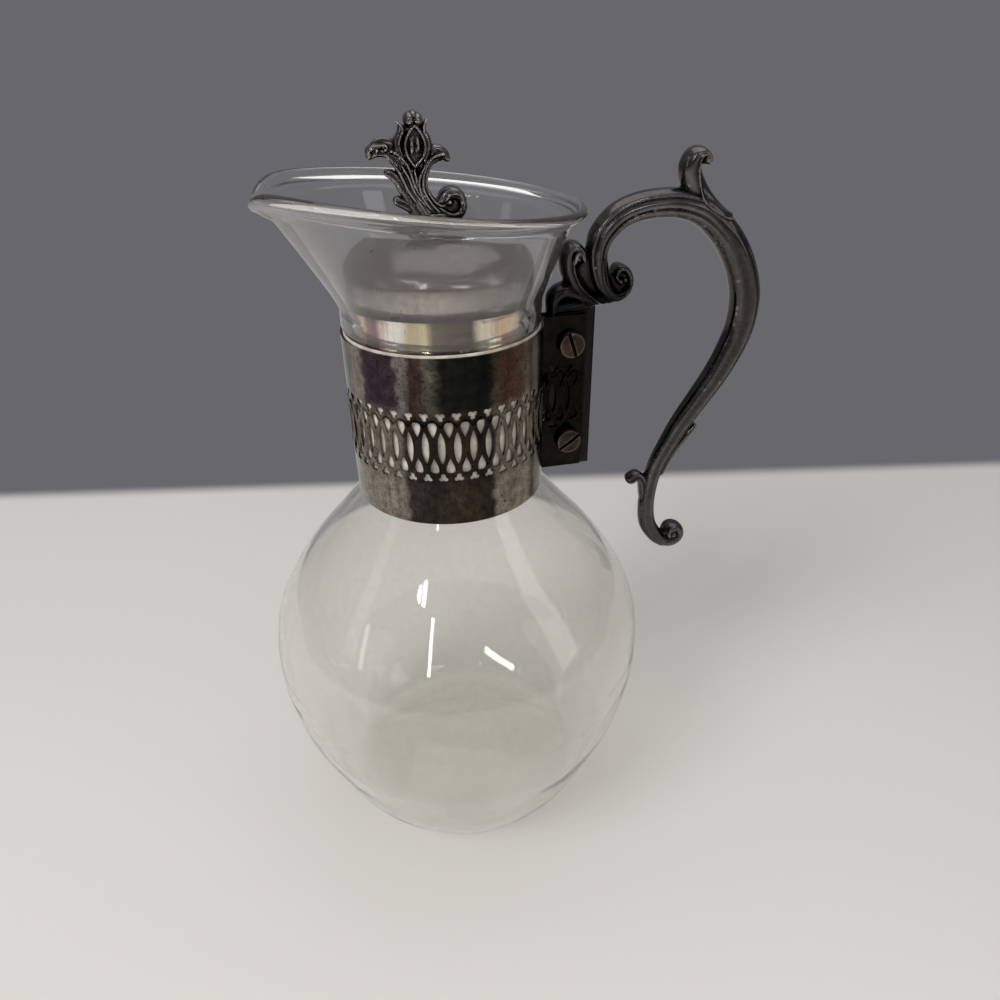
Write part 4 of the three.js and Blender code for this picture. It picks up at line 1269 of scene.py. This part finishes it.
def seen_share(tree, unseen=0.0):
    """One for what the camera sees, also in metal and through glass, and unseen for what only lights."""
    path = node(tree, "LightPath").outputs
    seen = maths(tree, "MAXIMUM", path["Is Camera Ray"], path["Is Glossy Ray"])
    return maths(tree, "MAXIMUM", maths(tree, "MAXIMUM", seen, path["Is Transmission Ray"]), unseen)


def mirrored_share(tree):
    """One for rays that metal or glass mirrors, and nothing for those that glass lets through."""
    path = node(tree, "LightPath").outputs
    return maths(tree, "SUBTRACT", path["Is Glossy Ray"], path["Is Transmission Ray"], use_clamp=True)


def table_top():
    """A pale table top whose edge fades to the backdrop, except in what mirrors it."""
    material, tree, where = new_material("matt_painted_board")
    on_table = node(tree, "Mapping", {
        "Vector": where, "Location": (0.0, 0.5, 0.0), "Rotation": (0.0, 0.0, math.radians(10.4)),
    })
    folded = node(tree, "VectorMath", {0: on_table}, operation="ABSOLUTE")
    sides = node(tree, "SeparateXYZ", {0: folded}).outputs
    away = maths(tree, "MAXIMUM", sides["X"], sides["Y"])
    fade = ranged(tree, away, TABLE_REACH, FADE_REACH, interpolation_type="SMOOTHSTEP")
    share = maths(tree, "MULTIPLY", fade, maths(tree, "SUBTRACT", 1.0, mirrored_share(tree)))
    board = node(tree, "BsdfPrincipled", {
        "Base Color": linear("#d3d0cb"), "Roughness": 0.6, "Specular IOR Level": 0.2,
    })
    far = node(tree, "Emission", {"Color": linear(BACKDROP), "Strength": seen_share(tree, 0.8)})
    node(tree, "OutputMaterial", {"Surface": mixed(tree, share, board, far)})
    mesh = bpy.data.meshes.new("floor")
    corners = ((-1, -1), (1, -1), (1, 1), (-1, 1))
    mesh.from_pydata([(x * FLOOR_REACH, y * FLOOR_REACH, -0.0002) for x, y in corners], [], [[0, 1, 2, 3]])
    mesh.materials.append(material)
    floor = linked("floor", mesh)


def room():
    """A cool grey backdrop, a lighter ceiling for what mirrors it, and a soft light from all round."""
    world = bpy.data.worlds.new("studio")
    bpy.context.scene.world = world
    world.use_nodes = True
    tree = world.node_tree
    tree.nodes.clear()
    towards = node(tree, "TexCoord").outputs["Generated"]
    height = node(tree, "SeparateXYZ", {0: towards}).outputs["Z"]
    overhead = node(tree, "ValToRGB", {0: height}, stops=[
        (0.0, BACKDROP), (0.35, "#7b7b80"), (0.6, "#98989b"), (1.0, "#a2a2a4"),
    ])
    light = node(tree, "Background", {"Color": linear("#f4f4f6"), "Strength": 0.24})
    backdrop = node(tree, "Background", {"Color": linear(BACKDROP), "Strength": 1.0})
    mirrored = node(tree, "Background", {"Color": overhead, "Strength": 1.0})
    lit = mixed(tree, seen_share(tree), light, backdrop)
    node(tree, "OutputWorld", {"Surface": mixed(tree, mirrored_share(tree), lit, mirrored)})


def rectangle_lamp(name, size, watts):
    """A lamp that shines from a rectangle."""
    data = bpy.data.lights.new(name, "AREA")
    data.shape = "RECTANGLE"
    data.size, data.size_y = size
    data.energy = watts
    return linked(name, data)


def towards_room(azimuth, elevation):
    """Where a direction from the carafe's middle meets the room."""
    azimuth, elevation = math.radians(azimuth), math.radians(elevation)
    flat = math.cos(elevation)
    direction = Vector((flat * math.cos(azimuth), flat * math.sin(azimuth), math.sin(elevation)))
    return carafe_middle + room_distance * direction


def lamps():
    """The softboxes, and the narrow lamps that draw the windows and walls in glass and metal."""
    for name, size, watts, origin, target, shown in softboxes:
        lamp = rectangle_lamp(name, size, watts)
        lamp.location = origin
        lamp.rotation_mode = "QUATERNION"
        lamp.rotation_quaternion = (Vector(target) - Vector(origin)).to_track_quat("-Z", "Y")
        lamp.visible_glossy = shown
        lamp.visible_transmission = shown
    for name, first, last, width, radiance in strip_lamps:
        start, end = towards_room(*first), towards_room(*last)
        middle = (start + end) / 2
        along = (end - start).normalized()
        side = (middle - carafe_middle).normalized().cross(along).normalized()
        length = (end - start).length
        lamp = rectangle_lamp(name, (length, width), radiance * math.pi * length * width)
        axes = Matrix((along, side, along.cross(side))).transposed()
        lamp.matrix_world = Matrix.Translation(middle) @ axes.to_4x4()


def photo_camera():
    """The photograph's viewpoint, worked out from the neck band, the body and the mouth."""
    pixels, focal_pixels, sensor = 1000, 751.1, 36.0
    position = Vector((-35.37, -251.69, 293.74)) * METRES
    heading, pitch, roll = math.radians(77.75), math.radians(-31.18), math.radians(-0.94)
    forward = Vector((
        math.cos(heading) * math.cos(pitch), math.sin(heading) * math.cos(pitch), math.sin(pitch),
    ))
    right = Vector((math.sin(heading), -math.cos(heading), 0))
    up = right.cross(forward)
    rolled_right = right * math.cos(roll) + up * math.sin(roll)
    rolled_up = up * math.cos(roll) - right * math.sin(roll)
    data = bpy.data.cameras.new("camera")
    data.sensor_width = sensor
    data.lens = focal_pixels / pixels * sensor
    data.clip_start = 0.01
    camera = linked("camera", data)
    axes = Matrix((rolled_right, rolled_up, -forward)).transposed()
    camera.matrix_world = Matrix.Translation(position) @ axes.to_4x4()
    bpy.context.scene.camera = camera


photo_camera()
table_top()
room()
lamps()
bpy.context.scene.view_settings.view_transform = "Standard"

glass = clear_glass()
film = liner_film()
# Band colours round the neck, 0.25 facing the front and 0.5 the handle: purple, brown and olive tarnish films
# with painted reflections in them, near black where the band faces the front and light grey bands towards its
# sides
tarnish_and_reflection_stops = [
    (0.0, "#4c4641"), (0.046, "#2b2725"), (0.06, "#7d756e"), (0.084, "#857d76"), (0.095, "#352c33"),
    (0.15, "#3b3139"), (0.157, "#77706f"), (0.166, "#645d5b"), (0.175, "#392b28"), (0.19, "#42322e"),
    (0.199, "#565349"), (0.21, "#43433c"), (0.221, "#191a18"), (0.292, "#161715"), (0.302, "#463c33"),
    (0.318, "#49332b"), (0.35, "#513931"), (0.37, "#6a5d51"), (0.395, "#2c2521"), (0.42, "#4a4038"),
    (0.445, "#181613"), (0.555, "#181613"), (0.62, "#3a3436"), (0.72, "#665c52"), (0.8, "#2c2927"),
    (0.9, "#5d4c42"), (1.0, "#4c4641"),
]
# The band's lower films: grey-brown worn plate and tarnish with painted reflections, dark where the band
# faces the front and lighter towards its sides
low_tarnish_and_reflection_stops = [
    (0.0, "#6b645b"), (0.06, "#847d73"), (0.1, "#8b847a"), (0.152, "#7d766c"), (0.162, "#3d3833"),
    (0.2, "#2b2724"), (0.245, "#383129"), (0.292, "#2a2623"), (0.302, "#7b7368"), (0.37, "#857d6f"),
    (0.41, "#4b453e"), (0.445, "#1a1814"), (0.555, "#1a1814"), (0.65, "#827a6e"), (0.8, "#4a443d"),
    (1.0, "#6b645b"),
]
# Skirt colours round the lid, 0.25 facing the front: bright plate with purple tarnish tints and painted
# reflections, peach and white highlight bands and a dark brown band where it faces the front
bright_plate_and_reflection_stops = [
    (0.0, "#b3a48f"), (0.05, "#f0dcc2"), (0.08, "#ecd0ae"), (0.09, "#8f6270"), (0.112, "#82566a"),
    (0.12, "#dcc2ba"), (0.14, "#f8f1ef"), (0.158, "#f2ece6"), (0.17, "#b9ac90"), (0.2, "#c9bc9a"),
    (0.212, "#55483b"), (0.235, "#40342a"), (0.274, "#372c24"), (0.287, "#e6d9c8"), (0.306, "#f0e5d6"),
    (0.318, "#dcc2a8"), (0.336, "#f6cdb0"), (0.358, "#f6e0ca"), (0.38, "#a99a8c"), (0.5, "#8c7c6d"),
    (0.6, "#d8cbb9"), (0.7, "#a48c8c"), (0.8, "#cfc2ae"), (0.9, "#8a7a6c"), (1.0, "#b3a48f"),
]
# Dome colours from its bottom edge to its top, on dull grey plate: the dark purplish band at the bottom edge
# is painted shadow where the dome meets the skirt, and the light straight wall under a darker dome is painted
# reflection, lighter where the wall faces the table and darker towards the top
dome_shade_and_reflection_stops = [
    (0.0, "#2a2224"), (0.07, "#342a2d"), (0.12, "#a39d9a"), (0.3, "#a19b98"), (0.46, "#77716f"),
    (0.6, "#5f5a58"), (1.0, "#585351"),
]
# The band's plate: tarnish colours with painted reflections round the neck
tarnished = plate("tarnished_silver_plate_painted_reflections", tarnish_and_reflection_stops, 0.03, 5, 0.17, 0.14, 0.45, low_tarnish_and_reflection_stops)
# The skirt's bright plate, with painted reflections round it
bright = plate("rubbed_silver_plate_painted_reflections", bright_plate_and_reflection_stops, 0.012, 10, 0.14, 0.1, 0.05, specks="#7a6f64")
# The dome's plate, with painted shadow at its foot and painted reflection up its height
dull = plate(
    "dulled_silver_plate_painted_shade_and_reflections", dome_shade_and_reflection_stops, 0.05, 6, 0.21, 0.1, 0.16, specks="#5a5553",
    levels=(cap_low[2], cap_high[2]),
)
dark_metal = casting(
    "blackened_plated_casting", "#151312", "#4e4b4a", "#858180", 0.18,
    foot=(band_top + 2, band_top + 34, 66, 82),
)
finial_metal = casting(
    "rubbed_plated_casting", "#0b0a0a", "#4b4846", "#bdb9b6", 0.16, reach=0.07, speckle=0.1,
)
screw_metal = casting("worn_brass_screw", "#0f0c0b", "#352b27", "#66564d", 0.34)
plain_metal = casting("plated_steel_nut", "#191817", "#55514d", "#98938e", 0.35)

place("blown_vessel", glass_vessel(), glass, ["glass_body"], "carafe", "clear_glass")
place("liner_strip", liner_strip(), film, ["neck_liner"], "carafe", "liner_film", 50)
place("pierced_band", pierced_band(), tarnished, ["neck_band"], "carafe", "tarnished_plate", 50)
place("scroll_handle", scroll_handle(), dark_metal, ["handle"], "carafe", "dark_casting")
clamp(screw_metal, plain_metal)
place("lid_dome", lid_dome(), dull, ["lid_cap"], "lid", "dull_plate", 50)
place("lid_skirt", lid_skirt(), bright, ["lid_collar"], "lid", "bright_plate", 50)
place("bud_finial", cast_finial(), finial_metal, ["finial"], "lid", "dark_casting")
lid_fastening(plain_metal)
